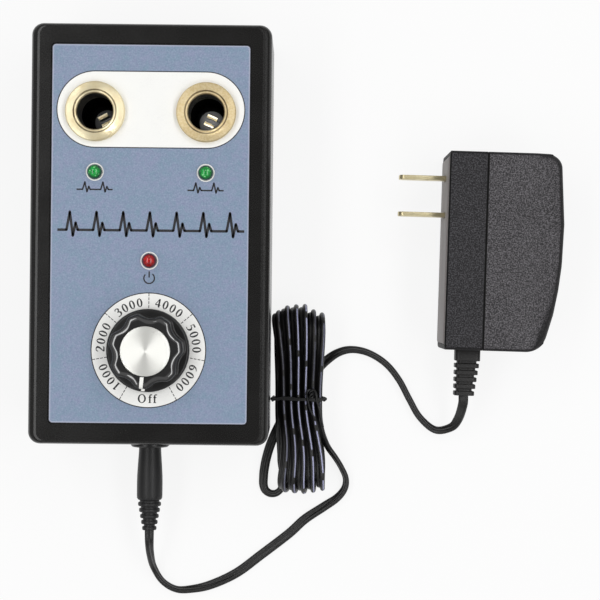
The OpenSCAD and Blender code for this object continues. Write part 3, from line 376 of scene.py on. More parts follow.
@dataclass(frozen=True)
class GrainedPlastic(Finish):
    """Moulded plastic with a sparked grain, faint blotches and a little dust."""

    colour: Triple
    rough: float = 0.42
    grain: float = 0.35
    depth: float = 0.03
    dust: float = 0.1
    contrast: float = 0.25
    gloss: float = 0.4

    def tint(self, graph: Graph, base: Wire) -> Wire:
        """Marks and painted shade on top of the grain, of which plain plastic has none."""
        return base

    def paint(self, graph: Graph) -> None:
        """Grain in bump and roughness, blotches and dust in colour."""
        grain = graph.noise(self.grain, 3.0)
        blotch = graph.noise(14.0, 3.0)
        dark = tuple(c * (1 - self.contrast) for c in self.colour)
        light = tuple(c * (1 + self.contrast) + 0.001 for c in self.colour)
        base = graph.blend(grain.rise(0.38, 0.72) * 0.85 + blotch * 0.15, dark, light)
        speck = graph.specks(1.7).rise(0.09, 0.03) * graph.noise(5.0).rise(0.5, 0.7)
        base = self.tint(graph, graph.blend(speck * self.dust, base, tone(190, 188, 182)))
        rough = self.rough + (grain - 0.5) * 0.22 + (blotch - 0.5) * 0.12
        graph.surface(base, rough, graph.relief(grain, self.depth, 0.5), fixed={"Specular IOR Level": self.gloss})


@dataclass(frozen=True)
class ShellPlastic(GrainedPlastic):
    """Grained plastic of the adapter, with painted shade on rounded edges and black in the joints."""

    at: Pair = (0.0, 0.0)
    turned: float = 0.0
    joints: tuple[Pair, ...] = ()

    def tint(self, graph: Graph, base: Wire) -> Wire:
        """Painted shade on edges that lean from level, and black lines along the joints, each given by its distance
        from the face and half its width.
        """
        level = graph.level()
        # painted shade: rounded edges that lean from level towards upright go dark
        base = graph.blend(level.rise(0.95, 0.8) * level.rise(0.05, 0.3) * 0.85, base, tone(20, 19, 20))
        x, y, _ = graph.axes()
        a = math.radians(self.turned)
        inward = (x - self.at[0]) * math.cos(a) - (y - self.at[1]) * math.sin(a)
        for place, half in self.joints:
            base = graph.blend(abs(inward - place).rise(half + 0.1, half - 0.05), base, tone(10, 10, 10))
        return base


@dataclass(frozen=True)
class LabelFilm(Finish):
    """Printed film of the front label: blue-grey, mottled, with a pale cut edge and a painted shadow line round its
    border.
    """

    half_w: float
    half_l: float
    colour: Triple = tone(130, 147, 172)
    warm: Triple = tone(143, 146, 178)
    cool: Triple = tone(118, 148, 167)
    edge: Triple = tone(190, 193, 212)
    corner: float = 1.4

    def paint(self, graph: Graph) -> None:
        """Mottle in four sizes, a pale line and a painted shadow line of the recess by the distance to the border."""
        x, y, _ = graph.axes()
        coarse = graph.noise(7.0, 3.0).rise(0.3, 0.7)
        middle = graph.noise(1.6, 3.0).rise(0.3, 0.7)
        fine = graph.noise(0.5, 2.0)
        base = graph.blend(coarse * 0.5 + middle * 0.5, self.cool, self.warm)
        base = graph.blend(0.4, base, self.colour)
        base = graph.blend(fine.rise(0.5, 0.75) * 0.5, base, tone(104, 120, 149))
        base = graph.blend(fine.rise(0.5, 0.25) * 0.5, base, tone(160, 175, 196))
        over_x = (abs(x) - (self.half_w - self.corner)).most(0.0)
        over_y = (abs(y) - (self.half_l - self.corner)).most(0.0)
        inside = self.corner - (over_x ** 2 + over_y ** 2) ** 0.5
        base = graph.blend(inside.rise(0.85, 0.35) * 0.7, base, self.edge)
        # painted shadow of the recess gap, a dark line just inside the border
        base = graph.blend(inside.rise(0.34, 0.2), base, tone(14, 14, 20))
        graph.surface(base, 0.46 + (fine - 0.5) * 0.25, graph.relief(fine, 0.01, 0.4))


@dataclass(frozen=True)
class PrintInk(Finish):
    """Screen ink with a faint weave and slightly uneven cover."""

    colour: Triple
    thin: Triple

    def paint(self, graph: Graph) -> None:
        """Uneven cover in colour, weave in bump."""
        cover = graph.noise(0.5, 3.0)
        wash = graph.noise(6.0, 2.0)
        base = graph.blend((cover * 0.6 + wash * 0.4).rise(0.45, 0.8) * 0.5, self.colour, self.thin)
        graph.surface(base, 0.5 + (cover - 0.5) * 0.2, graph.relief(cover, 0.006, 0.5))


@dataclass(frozen=True)
class TurnedBrass(Finish):
    """Turned brass: tool rings about an axis, soft tarnish, a sandy bloom where worn and painted shade that turns the
    bore black.
    """

    centre: Pair
    colour: Triple
    tarnish: Triple
    rough: float
    bloom: float
    metal: float = 0.8
    spun: float = 0.0
    bore_shade_to: float = 0.0
    bore_shade_below: float = 0.0
    grooves: tuple[Pair, ...] = ()

    def paint(self, graph: Graph) -> None:
        """Rings from the distance to the axis, tarnish and bloom from noise, painted bore shade from the radius and the
        height.
        """
        _, _, z = graph.axes()
        radius = graph.off_axis(self.centre)
        rings = (radius * 34 + graph.noise(3.0) * 6).wave() * 0.5 + 0.5
        stain = graph.noise(3.5, 4.0).rise(0.4, 0.72)
        sand = graph.noise(0.6, 3.0).rise(0.36, 0.64)
        base = graph.blend(stain * 0.4 + rings * 0.15, self.colour, self.tarnish)
        base = graph.blend(sand * self.bloom, base, tone(240, 226, 190))
        for place, half in self.grooves:
            cover = abs(radius - place).rise(half + 0.12, half - 0.05) * (stain * 0.3 + 0.6)
            base = graph.blend(cover, base, tone(92, 70, 40))
        # painted shade: black and without metal inside the bore below the flange
        black = radius.rise(self.bore_shade_to + 0.12, self.bore_shade_to) * z.rise(self.bore_shade_below + 0.15, self.bore_shade_below)
        base = graph.blend(black, base, tone(9, 8, 7))
        rough = self.rough + sand * self.bloom * 0.35 + stain * 0.12
        graph.surface(base, rough, graph.relief(rings * 0.6 + sand * self.bloom, 0.012, 0.6),
                      (1 - black) * self.metal, 0.0, {"Anisotropic": self.spun, "Anisotropic Rotation": 0.25})


@dataclass(frozen=True)
class DrawnMetal(Finish):
    """Sheet or rod metal with fine draw lines along one axis."""

    colour: Triple
    tarnish: Triple
    rough: float = 0.3
    lines: Triple = (0.06, 1.0, 1.0)
    metal: float = 1.0

    def paint(self, graph: Graph) -> None:
        """Draw lines from stretched noise, tarnish from soft noise."""
        line = graph.noise(0.16, 3.0, self.lines)
        stain = graph.noise(4.0, 3.0).rise(0.45, 0.75)
        base = graph.blend(stain * 0.5 + line * 0.2, self.colour, self.tarnish)
        graph.surface(base, self.rough + line * 0.16 + stain * 0.12, graph.relief(line, 0.01, 0.5), self.metal)


@dataclass(frozen=True)
class ClipMetal(DrawnMetal):
    """Spring brass, bright at its tips, with painted shade that turns it black below."""

    bright_from: float = 13.6

    def paint(self, graph: Graph) -> None:
        """Painted shade from the height: black and without metal below the tips."""
        _, _, z = graph.axes()
        line = graph.noise(0.16, 3.0, self.lines)
        # painted shade: the clip keeps its brass only near its tips
        bright = z.rise(self.bright_from - 1, self.bright_from)
        base = graph.blend(bright, tone(14, 13, 11), graph.blend(line * 0.6, self.colour, self.tarnish))
        graph.surface(base, self.rough + line * 0.16, graph.relief(line, 0.01, 0.5), bright * self.metal)


@dataclass(frozen=True)
class SpunMetal(Finish):
    """Spun metal disc, whose circular scratches spread its gloss into two bright fans."""

    centre: Pair
    colour: Triple = tone(253, 253, 248)
    shade: Triple = tone(238, 238, 231)

    def paint(self, graph: Graph) -> None:
        """Rings in colour and bump, with a fixed spread of gloss."""
        radius = graph.off_axis(self.centre)
        rings = (radius * 22).wave() * 0.3 + (radius * 61 + 1.3).wave() * 0.2 + 0.5
        base = graph.blend(rings * 0.4 + graph.noise(5.0) * 0.2, self.colour, self.shade)
        graph.surface(base, 0.4 + rings * 0.06, graph.relief(rings, 0.002, 0.5), 0.75, 0.0,
                      {"Anisotropic": 0.9, "Anisotropic Rotation": 0.25})


@dataclass(frozen=True)
class LampLens(Finish):
    """Tinted lens of a lamp: glossy, with painted shade at its rim and painted glints of its inner reflector."""

    centre: Pair
    colour: Triple
    deep: Triple
    fleck: Triple
    flecks: float
    radius: float = 2.5

    def paint(self, graph: Graph) -> None:
        """Painted rim shade from the distance to the axis, painted glints from scattered points."""
        out = graph.off_axis(self.centre) / self.radius
        swirl = graph.noise(0.8, 2.0)
        heart = graph.blend(swirl.rise(0.4, 0.65) * 0.6, self.colour, self.deep)
        # painted shade: the lens turns to its deep colour towards the rim
        base = graph.blend(out.rise(0.5, 0.98), heart, self.deep)
        # painted glints of the inner reflector, kept off the rim
        fleck = graph.specks(1.1).rise(0.36, 0.14) * out.rise(0.9, 0.5) * self.flecks
        base = graph.blend(fleck, base, self.fleck)
        graph.surface(base, 0.16 + swirl * 0.12, graph.relief(swirl, 0.05, 0.5), 0.0, 0.4,
                      {"Coat Roughness": 0.08})


@dataclass(frozen=True)
class PolishedPlastic(Finish):
    """Black plastic with hairline scratches and finger haze, polished above a height and satin below."""

    colour: Triple
    satin_to: float
    rough: float = 0.07

    def paint(self, graph: Graph) -> None:
        """Scratches from stretched noise, haze from soft noise, polish from the height and the slope."""
        _, _, z = graph.axes()
        polish = z.rise(self.satin_to, self.satin_to + 1) * graph.level().rise(0.7, 0.88)
        hair = graph.noise(0.35, 2.0, (1.0, 0.12, 0.5)).rise(0.62, 0.75)
        haze = graph.noise(4.0, 3.0)
        base = graph.blend(haze * 0.6 + hair * 0.3, self.colour, tuple(c * 1.7 + 0.002 for c in self.colour))
        rough = self.rough + haze * 0.08 + hair * 0.08 + (1 - polish) * 0.2
        graph.surface(base, rough, graph.relief(hair + haze * 0.5, 0.004, 0.3), 0.0, polish,
                      {"Specular IOR Level": 0.45, "Coat Roughness": 0.06, "Coat IOR": 1.9})


@dataclass(frozen=True)
class CordRubber(Finish):
    """Rubber of the twin lead, with a broken marking stripe along one core."""

    colour: Triple = tone(13, 13, 14)
    sheen: Triple = tone(40, 38, 36)
    stripe: Triple = tone(170, 172, 204)
    pitch: float = 16.5
    gap: float = 2.0
    stripe_at: float = -22.0
    stripe_half: float = 17.0

    def paint(self, graph: Graph) -> None:
        """Stripe from the marks 'turn', 'along' and 'shown' on the mesh."""
        grain = graph.noise(0.3, 2.0)
        scuff = graph.noise(5.0, 3.0).rise(0.5, 0.78)
        base = graph.blend(scuff * 0.6 + grain * 0.2, self.colour, self.sheen)
        off = abs(graph.mark("turn") - self.stripe_at)
        along = graph.mark("along") * (1 / MM) % self.pitch
        dash = along.rise(self.gap, self.gap + 0.3) * (self.pitch - along).rise(0.0, 0.3)
        worn = graph.noise(0.7, 2.0).rise(0.25, 0.45) * 0.3 + 0.7
        cover = off.rise(self.stripe_half + 3, self.stripe_half - 3) * dash * worn * graph.mark("shown")
        base = graph.blend(cover, base, self.stripe)
        graph.surface(base, 0.34 + scuff * 0.2 + grain * 0.1, graph.relief(grain, 0.02, 0.4))


@dataclass(frozen=True)
class CircuitBoard(Finish):
    """Glass-fibre board under green lacquer, with pale tracks."""

    colour: Triple = tone(20, 84, 46)
    track: Triple = tone(58, 128, 70)

    def paint(self, graph: Graph) -> None:
        """Tracks from a grid that noise bends."""
        x, y, _ = graph.axes()
        bend = graph.noise(9.0, 2.0) * 5
        lines = ((x + bend) % 5.08 - 2.54) * ((y + bend) % 7.62 - 3.81)
        base = graph.blend(abs(lines).rise(0.7, 0.4), self.colour, self.track)
        weave = graph.noise(0.4, 2.0)
        graph.surface(base, 0.3 + weave * 0.15, graph.relief(weave, 0.01, 0.3), 0.0, 0.3)


# Meshes


def unit(vector: np.ndarray) -> np.ndarray:
    """Vector of length 1 in the same direction."""
    return vector / np.linalg.norm(vector)


def units(rows: np.ndarray) -> np.ndarray:
    """Vectors of length 1 in the same directions, one per row."""
    return rows / np.linalg.norm(rows, axis=1)[:, None]


def through(points: Sequence[Sequence[float]], steps: int) -> np.ndarray:
    """Smooth curve through points, with a few steps from each point to the next.

    Args:
        points: Points in two or three axes.
        steps: Steps between neighbours.

    Returns:
        One row per point of the curve.
    """
    p = np.array(points, float)
    p = np.vstack([2 * p[0] - p[1], p, 2 * p[-1] - p[-2]])
    f = (np.arange(steps) / steps)[:, None]
    rows = [0.5 * (2 * b + (c - a) * f + (2 * a - 5 * b + 4 * c - d) * f ** 2 + (3 * b - a - 3 * c + d) * f ** 3)
            for a, b, c, d in zip(p, p[1:], p[2:], p[3:])]
    return np.vstack(rows + [p[-2:-1]])


@dataclass
class Shape:
    """Points and faces of a mesh, in millimetres, that grows piece by piece."""

    points: list[Triple] = field(default_factory=list)
    faces: Faces = field(default_factory=list)

    def add(self, points: Iterable[Sequence[float]], faces: Iterable[Sequence[int]]) -> None:
        """Add points, and faces that count from the first of them.

        Args:
            points: New points.
            faces: New faces.
        """
        base = len(self.points)
        self.points += [tuple(float(c) for c in p) for p in points]
        self.faces += [tuple(base + i for i in face) for face in faces]

    def loft(self, rings: Sequence[np.ndarray], closed: bool = True, capped: bool = True) -> "Shape":
        """Skin a row of rings that have as many points each.

        Args:
            rings: Rings of points, anticlockwise seen from the last ring.
            closed: Whether each ring closes on itself.
            capped: Whether the first and last rings are filled.

        Returns:
            This shape.
        """
        count = len(rings[0])
        span = count if closed else count - 1
        faces: Faces = [(i * count + j, i * count + (j + 1) % count, (i + 1) * count + (j + 1) % count,
                         (i + 1) * count + j) for i in range(len(rings) - 1) for j in range(span)]
        if capped:
            last = (len(rings) - 1) * count
            faces += [tuple(range(count - 1, -1, -1)), tuple(range(last, last + count))]
        self.add(np.vstack(rings), faces)
        return self

    def lathe(self, profile: Sequence[Pair], centre: Triple, sides: int, capped: bool = True) -> "Shape":
        """Turn a profile of (radius, height) about a line along Z.

        Args:
            profile: Outline from its lowest inner point on, each radius above 0.
            centre: A point on the line, which the heights count from.
            sides: Faces round the line.
            capped: Whether the first and last rings are filled.

        Returns:
            This shape.
        """
        turns = np.arange(sides) * 2 * math.pi / sides
        ring = np.stack([np.cos(turns), np.sin(turns), np.zeros(sides)], 1)
        rings = [np.array(centre) + ring * r + np.array([0, 0, z]) for r, z in profile]
        return self.loft(rings, capped=capped)

    def plate(self, loops: Sequence[Loop], low: float, high: float) -> None:
        """Thin plate of an outline with holes.

        Args:
            loops: Outer outline first, then the holes.
            low: Height of its underside.
            high: Height of its top.
        """
        flat = [p for loop in loops for p in loop]
        count = len(flat)
        faces: Faces = []
        for a, b, c in tessellate_polygon([[Vector((x, y, 0)) for x, y in loop] for loop in loops]):
            (ax, ay), (bx, by), (cx, cy) = flat[a], flat[b], flat[c]
            if (bx - ax) * (cy - ay) - (by - ay) * (cx - ax) < 0:
                b, c = c, b
            faces += [(a + count, b + count, c + count), (a, c, b)]
        start = 0
        for k, loop in enumerate(loops):
            n = len(loop)
            area = sum(loop[i][0] * loop[(i + 1) % n][1] - loop[(i + 1) % n][0] * loop[i][1] for i in range(n))
            outward = (area > 0) == (k == 0)
            for i in range(n):
                a, b = start + i, start + (i + 1) % n
                faces.append((a, b, b + count, a + count) if outward else (b, a, a + count, b + count))
            start += n
        self.add([(x, y, low) for x, y in flat] + [(x, y, high) for x, y in flat], faces)


def ellipse(centre: Pair, wide: float, high: float, sides: int = 48) -> Loop:
    """Outline of an ellipse, anticlockwise.

    Args:
        centre: Its centre.
        wide: Half its width.
        high: Half its height.
        sides: Points round it.

    Returns:
        The outline.
    """
    turns = [k * 2 * math.pi / sides for k in range(sides)]
    return [(centre[0] + wide * math.cos(t), centre[1] + high * math.sin(t)) for t in turns]


def stadium(centre: Pair, wide: float, high: float, sides: int = 32) -> Loop:
    """Outline of a bar with round ends, anticlockwise.

    Args:
        centre: Its centre.
        wide: Half its width.
        high: Half its height, which is the radius of its ends.
        sides: Points round each end.

    Returns:
        The outline.
    """
    half = wide - high
    turns = [-math.pi / 2 + k * math.pi / sides for k in range(sides + 1)]
    right = [(centre[0] + half + high * math.cos(t), centre[1] + high * math.sin(t)) for t in turns]
    return right + [(2 * centre[0] - x, 2 * centre[1] - y) for x, y in right]


def disc(centre: Pair, radius: float, sides: int = 48) -> Loop:
    """Outline of a circle, anticlockwise."""
    return ellipse(centre, radius, radius, sides)


def stroke(points: Sequence[Pair], widths: Sequence[float], steps: int) -> Loop:
    """Outline of a pen stroke.

    Args:
        points: Points on the middle of the stroke.
        widths: Width of the pen at each point.
        steps: Steps from each point to the next, 1 for straight lines.

    Returns:
        The outline.
    """
    row = through([(x, y, w) for (x, y), w in zip(points, widths)], steps)
    ahead = units(np.gradient(row[:, :2], axis=0))
    side = np.stack([-ahead[:, 1], ahead[:, 0]], 1) * row[:, 2:3] / 2
    left, right = row[:, :2] + side, row[:, :2] - side
    return [tuple(p) for p in right] + [tuple(p) for p in left[::-1]]


class Workshop:
    """Makes objects out of shapes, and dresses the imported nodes."""

    WELD: ClassVar[float] = 2e-6
    FLAT: ClassVar[float] = math.radians(0.4)

    def __init__(self, frame: dict[str, Any]) -> None:
        """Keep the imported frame."""
        self.nodes: dict[str, bpy.types.Object] = frame["nodes"]

    def piece(self, name: str, shape: Shape, finish: Finish, body: Body, slot: str, stands_for: Sequence[str] = (),
              crease: float = 35.0, marks: Optional[dict[str, Sequence[float]]] = None) -> bpy.types.Object:
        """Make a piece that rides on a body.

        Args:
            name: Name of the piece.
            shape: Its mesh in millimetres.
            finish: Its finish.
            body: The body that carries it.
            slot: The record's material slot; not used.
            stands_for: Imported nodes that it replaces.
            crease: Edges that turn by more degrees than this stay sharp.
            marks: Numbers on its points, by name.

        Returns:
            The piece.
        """
        mesh = bpy.data.meshes.new(name)
        mesh.from_pydata([tuple(c * MM for c in p) for p in shape.points], [], shape.faces)
        for mark, values in (marks or {}).items():
            mesh.attributes.new(mark, "FLOAT", "POINT").data.foreach_set("value", np.array(values, np.float32))
        return self._settle(name, mesh, finish, body, stands_for, crease)

    def _settle(self, name: str, mesh: bpy.types.Mesh, finish: Finish, body: Body,
                stands_for: Sequence[str], crease: float) -> bpy.types.Object:
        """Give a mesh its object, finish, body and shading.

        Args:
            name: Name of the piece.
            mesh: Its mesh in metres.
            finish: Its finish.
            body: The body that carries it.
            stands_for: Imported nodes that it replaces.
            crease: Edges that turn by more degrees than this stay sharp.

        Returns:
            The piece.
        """
        mesh.shade_smooth()
        mesh.set_sharp_from_angle(angle=math.radians(crease))
        mesh.materials.append(finish.material())
        made = bpy.data.objects.new(name, mesh)
        bpy.context.scene.collection.objects.link(made)
        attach(made, body.value)
        if stands_for:
            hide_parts(*stands_for)
        LOG.info("%s made, rides on %s", name, body.value)
        return made

    def eased(self, node: str, finish: Finish, body: Body, slot: str, *cuts: Cut) -> bpy.types.Object:
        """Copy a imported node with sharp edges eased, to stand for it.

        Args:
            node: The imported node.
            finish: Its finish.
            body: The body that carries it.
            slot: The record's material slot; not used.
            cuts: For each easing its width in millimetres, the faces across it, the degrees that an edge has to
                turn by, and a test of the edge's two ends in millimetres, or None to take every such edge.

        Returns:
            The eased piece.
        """
        work = bmesh.new()
        work.from_mesh(self.nodes[node].data)
        bmesh.ops.remove_doubles(work, verts=work.verts, dist=self.WELD)
        bmesh.ops.dissolve_limit(work, angle_limit=self.FLAT, verts=work.verts, edges=work.edges)
        for width, steps, turn, choose in cuts:
            sharp = [e for e in work.edges if len(e.link_faces) == 2 and e.calc_face_angle() > math.radians(turn)
                     and (choose is None or choose(np.array([v.co for v in e.verts]) / MM))]
            bmesh.ops.bevel(work, geom=sharp, offset=width * MM, offset_type="OFFSET", segments=steps, profile=0.5,
                            affect="EDGES", clamp_overlap=False)
        mesh = bpy.data.meshes.new(node + "_eased")
        work.to_mesh(mesh)
        work.free()
        return self._settle(node + "_eased", mesh, finish, body, (node,), 32.0)

    def dress(self, finish: Finish, *names: str) -> None:
        """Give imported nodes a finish, with their shapes as they are.

        Args:
            finish: The finish.
            names: The nodes.
        """
        for name in names:
            mesh = self.nodes[name].data
            mesh.materials.clear()
            mesh.materials.append(finish.material())
            LOG.info("%s dressed in %s", name, finish.name)


# Stage


@dataclass
class Studio:
    """Camera, floor and light."""

    eye: Triple = (50.1, -21.3, 600.0)
    turn: float = 0.0105
    lens: float = 101.04
    lamps: tuple[tuple[str, Triple, Pair, float], ...] = (
        ("strip_left", (-430.0, 20.0, 800.0), (1300.0, 220.0), 3.2),
        ("strip_right", (430.0, 20.0, 800.0), (1300.0, 220.0), 3.7))
    spots: tuple[tuple[Side, float], ...] = ((Side.LEFT, 3.0), (Side.RIGHT, 7.0))
    spot_z: float = 14.0
    spot_off: float = 0.7
    spot_cone: float = 1.0
    floor_half: float = 6000.0
    floor_z: float = -0.1
    floor_thrown: float = 0.35
    floor_seen: float = 0.86
    sky: tuple[Pair, ...] = ((0.12, 0.26), (0.6, 0.48), (0.93, 0.48), (0.98, 0.14))

    def set_camera(self) -> None:
        """Camera that looks straight down on the table."""
        camera = bpy.data.cameras.new("camera")
        camera.lens = self.lens
        camera.sensor_width = 36.0
        seen = bpy.data.objects.new("camera", camera)
        seen.location = Vector(self.eye) * MM
        seen.rotation_euler = (0.0, 0.0, self.turn)
        bpy.context.scene.collection.objects.link(seen)
        bpy.context.scene.camera = seen
        bpy.context.scene.view_settings.view_transform = "Standard"

    def lay_floor(self) -> None:
        """Pale floor that shows white to the eye and keeps a faint shadow."""
        mesh = bpy.data.meshes.new("floor")
        corners = [(x * self.floor_half * MM, y * self.floor_half * MM, self.floor_z * MM)
                   for x, y in ((-1, -1), (1, -1), (1, 1), (-1, 1))]
        mesh.from_pydata(corners, [], [(0, 1, 2, 3)])
        floor = bpy.data.objects.new("floor", mesh)
        bpy.context.scene.collection.objects.link(floor)
        mesh.materials.append(bpy.data.materials.new("pale_floor"))
        graph = Graph(mesh.materials[0])
        path = graph.add("ShaderNodeLightPath").socket.node
        seen, mirrored, passed = (Wire(graph, path.outputs[f"Is {ray} Ray"])
                                  for ray in ("Camera", "Glossy", "Transmission"))
        white = seen.most(mirrored).most(passed)
        colour = graph.blend(white, (self.floor_thrown,) * 3, (self.floor_seen,) * 3)
        matt = graph.add("ShaderNodeBsdfDiffuse", inputs={"Color": colour})
        glow = graph.add("ShaderNodeEmission", inputs={"Color": (1.0, 1.0, 1.0), "Strength": 1.0})
        graph.show(graph.add("ShaderNodeMixShader", inputs={0: white * self.floor_seen, 1: matt, 2: glow}))

    @staticmethod
    def _hang(lamp: bpy.types.Light, place: Vector, back: Vector, power: float) -> None:
        """Hang a lamp that the camera doesn't see.

        Args:
            lamp: The lamp.
            place: Where it hangs, in millimetres.
            back: The direction that its back points in.
            power: Its power in watts.
        """
        lamp.energy = power
        hung = bpy.data.objects.new(lamp.name, lamp)
        hung.location = place * MM
        hung.rotation_euler = back.to_track_quat("Z", "Y").to_euler()
        hung.visible_camera = False
        bpy.context.scene.collection.objects.link(hung)

    def light(self) -> None:
        """Long strips on both sides, a narrow spot down each socket, and a sky dark at the horizon and overhead."""
        for name, off, size, power in self.lamps:
            lamp = bpy.data.lights.new(name, "AREA")
            lamp.shape = "RECTANGLE"
            lamp.size, lamp.size_y = size[0] * MM, size[1] * MM
            self._hang(lamp, Vector((self.eye[0] + off[0], self.eye[1] + off[1], off[2])), Vector(off), power)
        for side, power in self.spots:
            lamp = bpy.data.lights.new(f"spot_{side.name.lower()}", "SPOT")
            lamp.spot_size, lamp.spot_blend, lamp.shadow_soft_size = math.radians(self.spot_cone), 0.3, 0.002
            target = Vector((side.value * SOCKET_X, SOCKET_Y, self.spot_z))
            back = (Vector(self.eye) - target) * self.spot_off
            self._hang(lamp, target + back, back, power)
        world = bpy.data.worlds.new("dim_sky")
        bpy.context.scene.world = world
        graph = Graph(world, "World")
        ahead = graph.add("ShaderNodeTexCoord", out="Generated")
        height = graph.add("ShaderNodeSeparateXYZ", inputs={"Vector": ahead}, out="Z")
        stops = [(place, (grey,) * 3) for place, grey in self.sky]
        glow = graph.add("ShaderNodeValToRGB", {"stops": stops}, {"Fac": height})
        graph.show(graph.add("ShaderNodeBackground", inputs={"Color": glow}))


# Lead


@dataclass
class TwinLead:
    """Flat twin lead from the plug over a tied hank to the adapter, with its plug grip and its tie."""

    shop: Workshop
    width: float = 3.4
    thick: float = 1.7
    boot_end: Triple = (-1.5, -101.8, 14.0)
    corner: Triple = (40.0, -70.0, 0.0)
    hank_x: float = 10.0
    hank_y: float = 14.0
    fold_r: float = 6.5
    run_half: float = 25.0
    lay: float = 60.0
    lay_ends: float = 41.0
    lay_rise: float = 1.4722
    lay_spread: float = 1.1611
    waist_pitch: float = 2.55
    end_pitch: float = 2.85
    south_shift: float = 2.2
    waist_lift: float = 3.8
    waist_stack: float = 3.8
    table_gap: float = 0.1
    lean_from: float = 12.0
    lean_run: float = 19.0
    stages: int = 24
    last: int = 134
    centre_turn: float = 2.75
    relief_end: Triple = (107.205, -53.772, 15.0)
    relief_ahead: Triple = (0.02094, 0.99978, 0.0)
    cord: CordRubber = CordRubber("cord_rubber_striped")
    grip: GrainedPlastic = GrainedPlastic("plug_rubber", tone(27, 27, 28), 0.46, 0.3, 0.02, 0.25)
    tie: GrainedPlastic = GrainedPlastic("tie_plastic", tone(24, 24, 25), 0.4, 0.4, 0.02, 0.1)

    PLUG_RUN: ClassVar[list[Triple]] = [
        (0, 0, 0), (0, -4, -0.6), (0, -9, -5), (0.8, -14.5, -10.2), (3.8, -19.8, -12.1), (8.6, -22.6, -12.2),
        (14, -22.6, -12.4), (21, -21, -12.6)]
    TABLE_RUN: ClassVar[list[Triple]] = [
        (-11.5, -48.6, 1.1), (-3, -42.2, 1.1), (7, -34.4, 1.1), (12.6, -29.2, 1.3), (19.4, -24.6, 1.6),
        (24, -21.4, 1.8), (26.6, -18, 1.9), (27, -14.4, 2.1), (25.4, -10.6, 2.6), (23.2, -7, 3.6)]
    CLIMB: ClassVar[list[Triple]] = [
        (3.6, -14, -4.6), (1.9, -10.4, -2.4), (0.8, -7, -0.9), (0.2, -3.4, -0.1), (0, 0, 0)]
    PLUG_ROLL: ClassVar[list[float]] = [
        30, 40, 60, 75, 80, 76, 60, 36, 12, 4, 4, 10, 30, 50, 66, 74, 76, 74, 70, 66, 62, 60, 60]
    ADAPTER_RUN: ClassVar[list[Triple]] = [
        (4.4, -12, 2), (4.4, -14.6, 1.95), (4.4, -16.9, 1.85), (3.77, -18.85, 1.75), (2.1, -20.05, 1.65),
        (0.1, -20.05, 1.55), (-1.55, -18.85, 1.5), (-2.2, -16.9, 1.45), (-2.2, -14.4, 1.4), (-2, -11.8, 1.35),
        (-1.2, -7.4, 1.3), (0.3, -2.4, 1.15), (2.8, 3.4, 1), (6.2, 9.8, 0.95), (10.6, 16.4, 0.95),
        (15, 22.2, 0.95), (19.4, 27, 1.2), (24, 30.2, 1.6), (29, 31.3, 1.8), (35, 30, 1.9), (41, 26.2, 1.9),
        (45.6, 20.6, 1.9), (49.2, 14, 1.9), (53, 7.6, 1.9), (58.4, 3.2, 2.6), (63.6, 4.2, 5.4), (66, 7.4, 8.6)]
    STRIPE_SHARES: ClassVar[list[Pair]] = [
        (0.0, 0.3), (1.0, 0.12), (1.0, 1.0), (0.9, 1.0), (0.7, 0.45), (0.3, 0.12)]
    SOUTH_LEAN: ClassVar[list[float]] = [0.8, 0.1, -0.6, -1.3, -2.0, -2.7, -3.0]
    NORTH_LEAN: ClassVar[list[float]] = [0.3, 0.0, -0.3, -0.7, -1.2, -1.6, -1.8]
    SOUTH_REACH: ClassVar[list[float]] = [-0.8, -0.6, 0.3, 0.6, 0.3, 0.0, 0.0]
    NORTH_REACH: ClassVar[list[float]] = [-2.6, -2.0, 0.5, 0.3, 0.4, -1.6, -2.4]
    ADAPTER_ROLL: ClassVar[list[float]] = [
        51, 60, 66, 65, 64, 60, 54, 46, 38, 31, 25, 20, 16, 10, 4, 0, 0, 0, 20, 44, 60, 66, 66, 66, 66, 66, 60, 48, 28,
        10, 0]

    def _waist(self, y: float) -> float:
        """How far a run is drawn in at a place along it: 1 at the tie, 0 at the folds."""
        return 0.0 if abs(y) >= self.run_half else (1 + math.cos(math.pi * y / self.run_half)) / 2

    def turn_at(self, stage: float) -> tuple[np.ndarray, np.ndarray]:
        """Place on the hank at a stage. Half a run takes 3 stages, and so does half a fold.

        Args:
            stage: 0 on top of the waist, then over the far fold, back underneath and over the near fold.

        Returns:
            The middle of the lead there, and the direction of its width.
        """
        s, turns = stage % self.stages, stage / self.stages
        mid = self.fold_r + self.lay_rise + self.table_gap
        low, high = mid - self.fold_r, mid + self.fold_r
        outward = np.array([0.0, 0.0, 1.0])
        if 3 < s < 9 or 15 < s < 21:
            sign = 1 if s < 12 else -1
            turn = (s - (3 if s < 12 else 15)) * math.pi / 6
            y = sign * (self.run_half + self.fold_r * math.sin(turn))
            z = mid + sign * self.fold_r * math.cos(turn)
            outward = sign * np.array([0.0, math.sin(turn), math.cos(turn)])
        elif 9 <= s <= 15:
            y = self.run_half * (12 - s) / 3
            z = low + self.waist_lift * self._waist(y)
            outward = -outward
        else:
            y = self.run_half * (s if s <= 3 else s - self.stages) / 3
            z = high + (low + self.waist_lift + self.waist_stack - high) * self._waist(y)
        drawn = self._waist(y)
        pitch = self.end_pitch + (self.waist_pitch - self.end_pitch) * drawn
        x = self.hank_x + (self.centre_turn - turns) * pitch + (self.south_shift * (1 - drawn) if y < 0 else 0)
        lean = np.interp(turns, range(7), self.SOUTH_LEAN if y < 0 else self.NORTH_LEAN)
        out = min(max((abs(y) - self.lean_from) / self.lean_run, 0), 1)
        x += lean * out ** 1.5 * min(max((z - low) / (high - low), 0), 1)
        reach = np.interp(turns, range(7), self.SOUTH_REACH if y < 0 else self.NORTH_REACH)
        y += reach * y * abs(y) / (self.run_half + self.fold_r) ** 2
        lay = math.radians(self.lay_ends + (self.lay - self.lay_ends) * drawn ** 0.5)
        across = math.cos(lay) * np.array([1.0, 0.0, 0.0]) + math.sin(lay) * outward
        return np.array(self.corner) + np.array([x, self.hank_y + y, z]), across

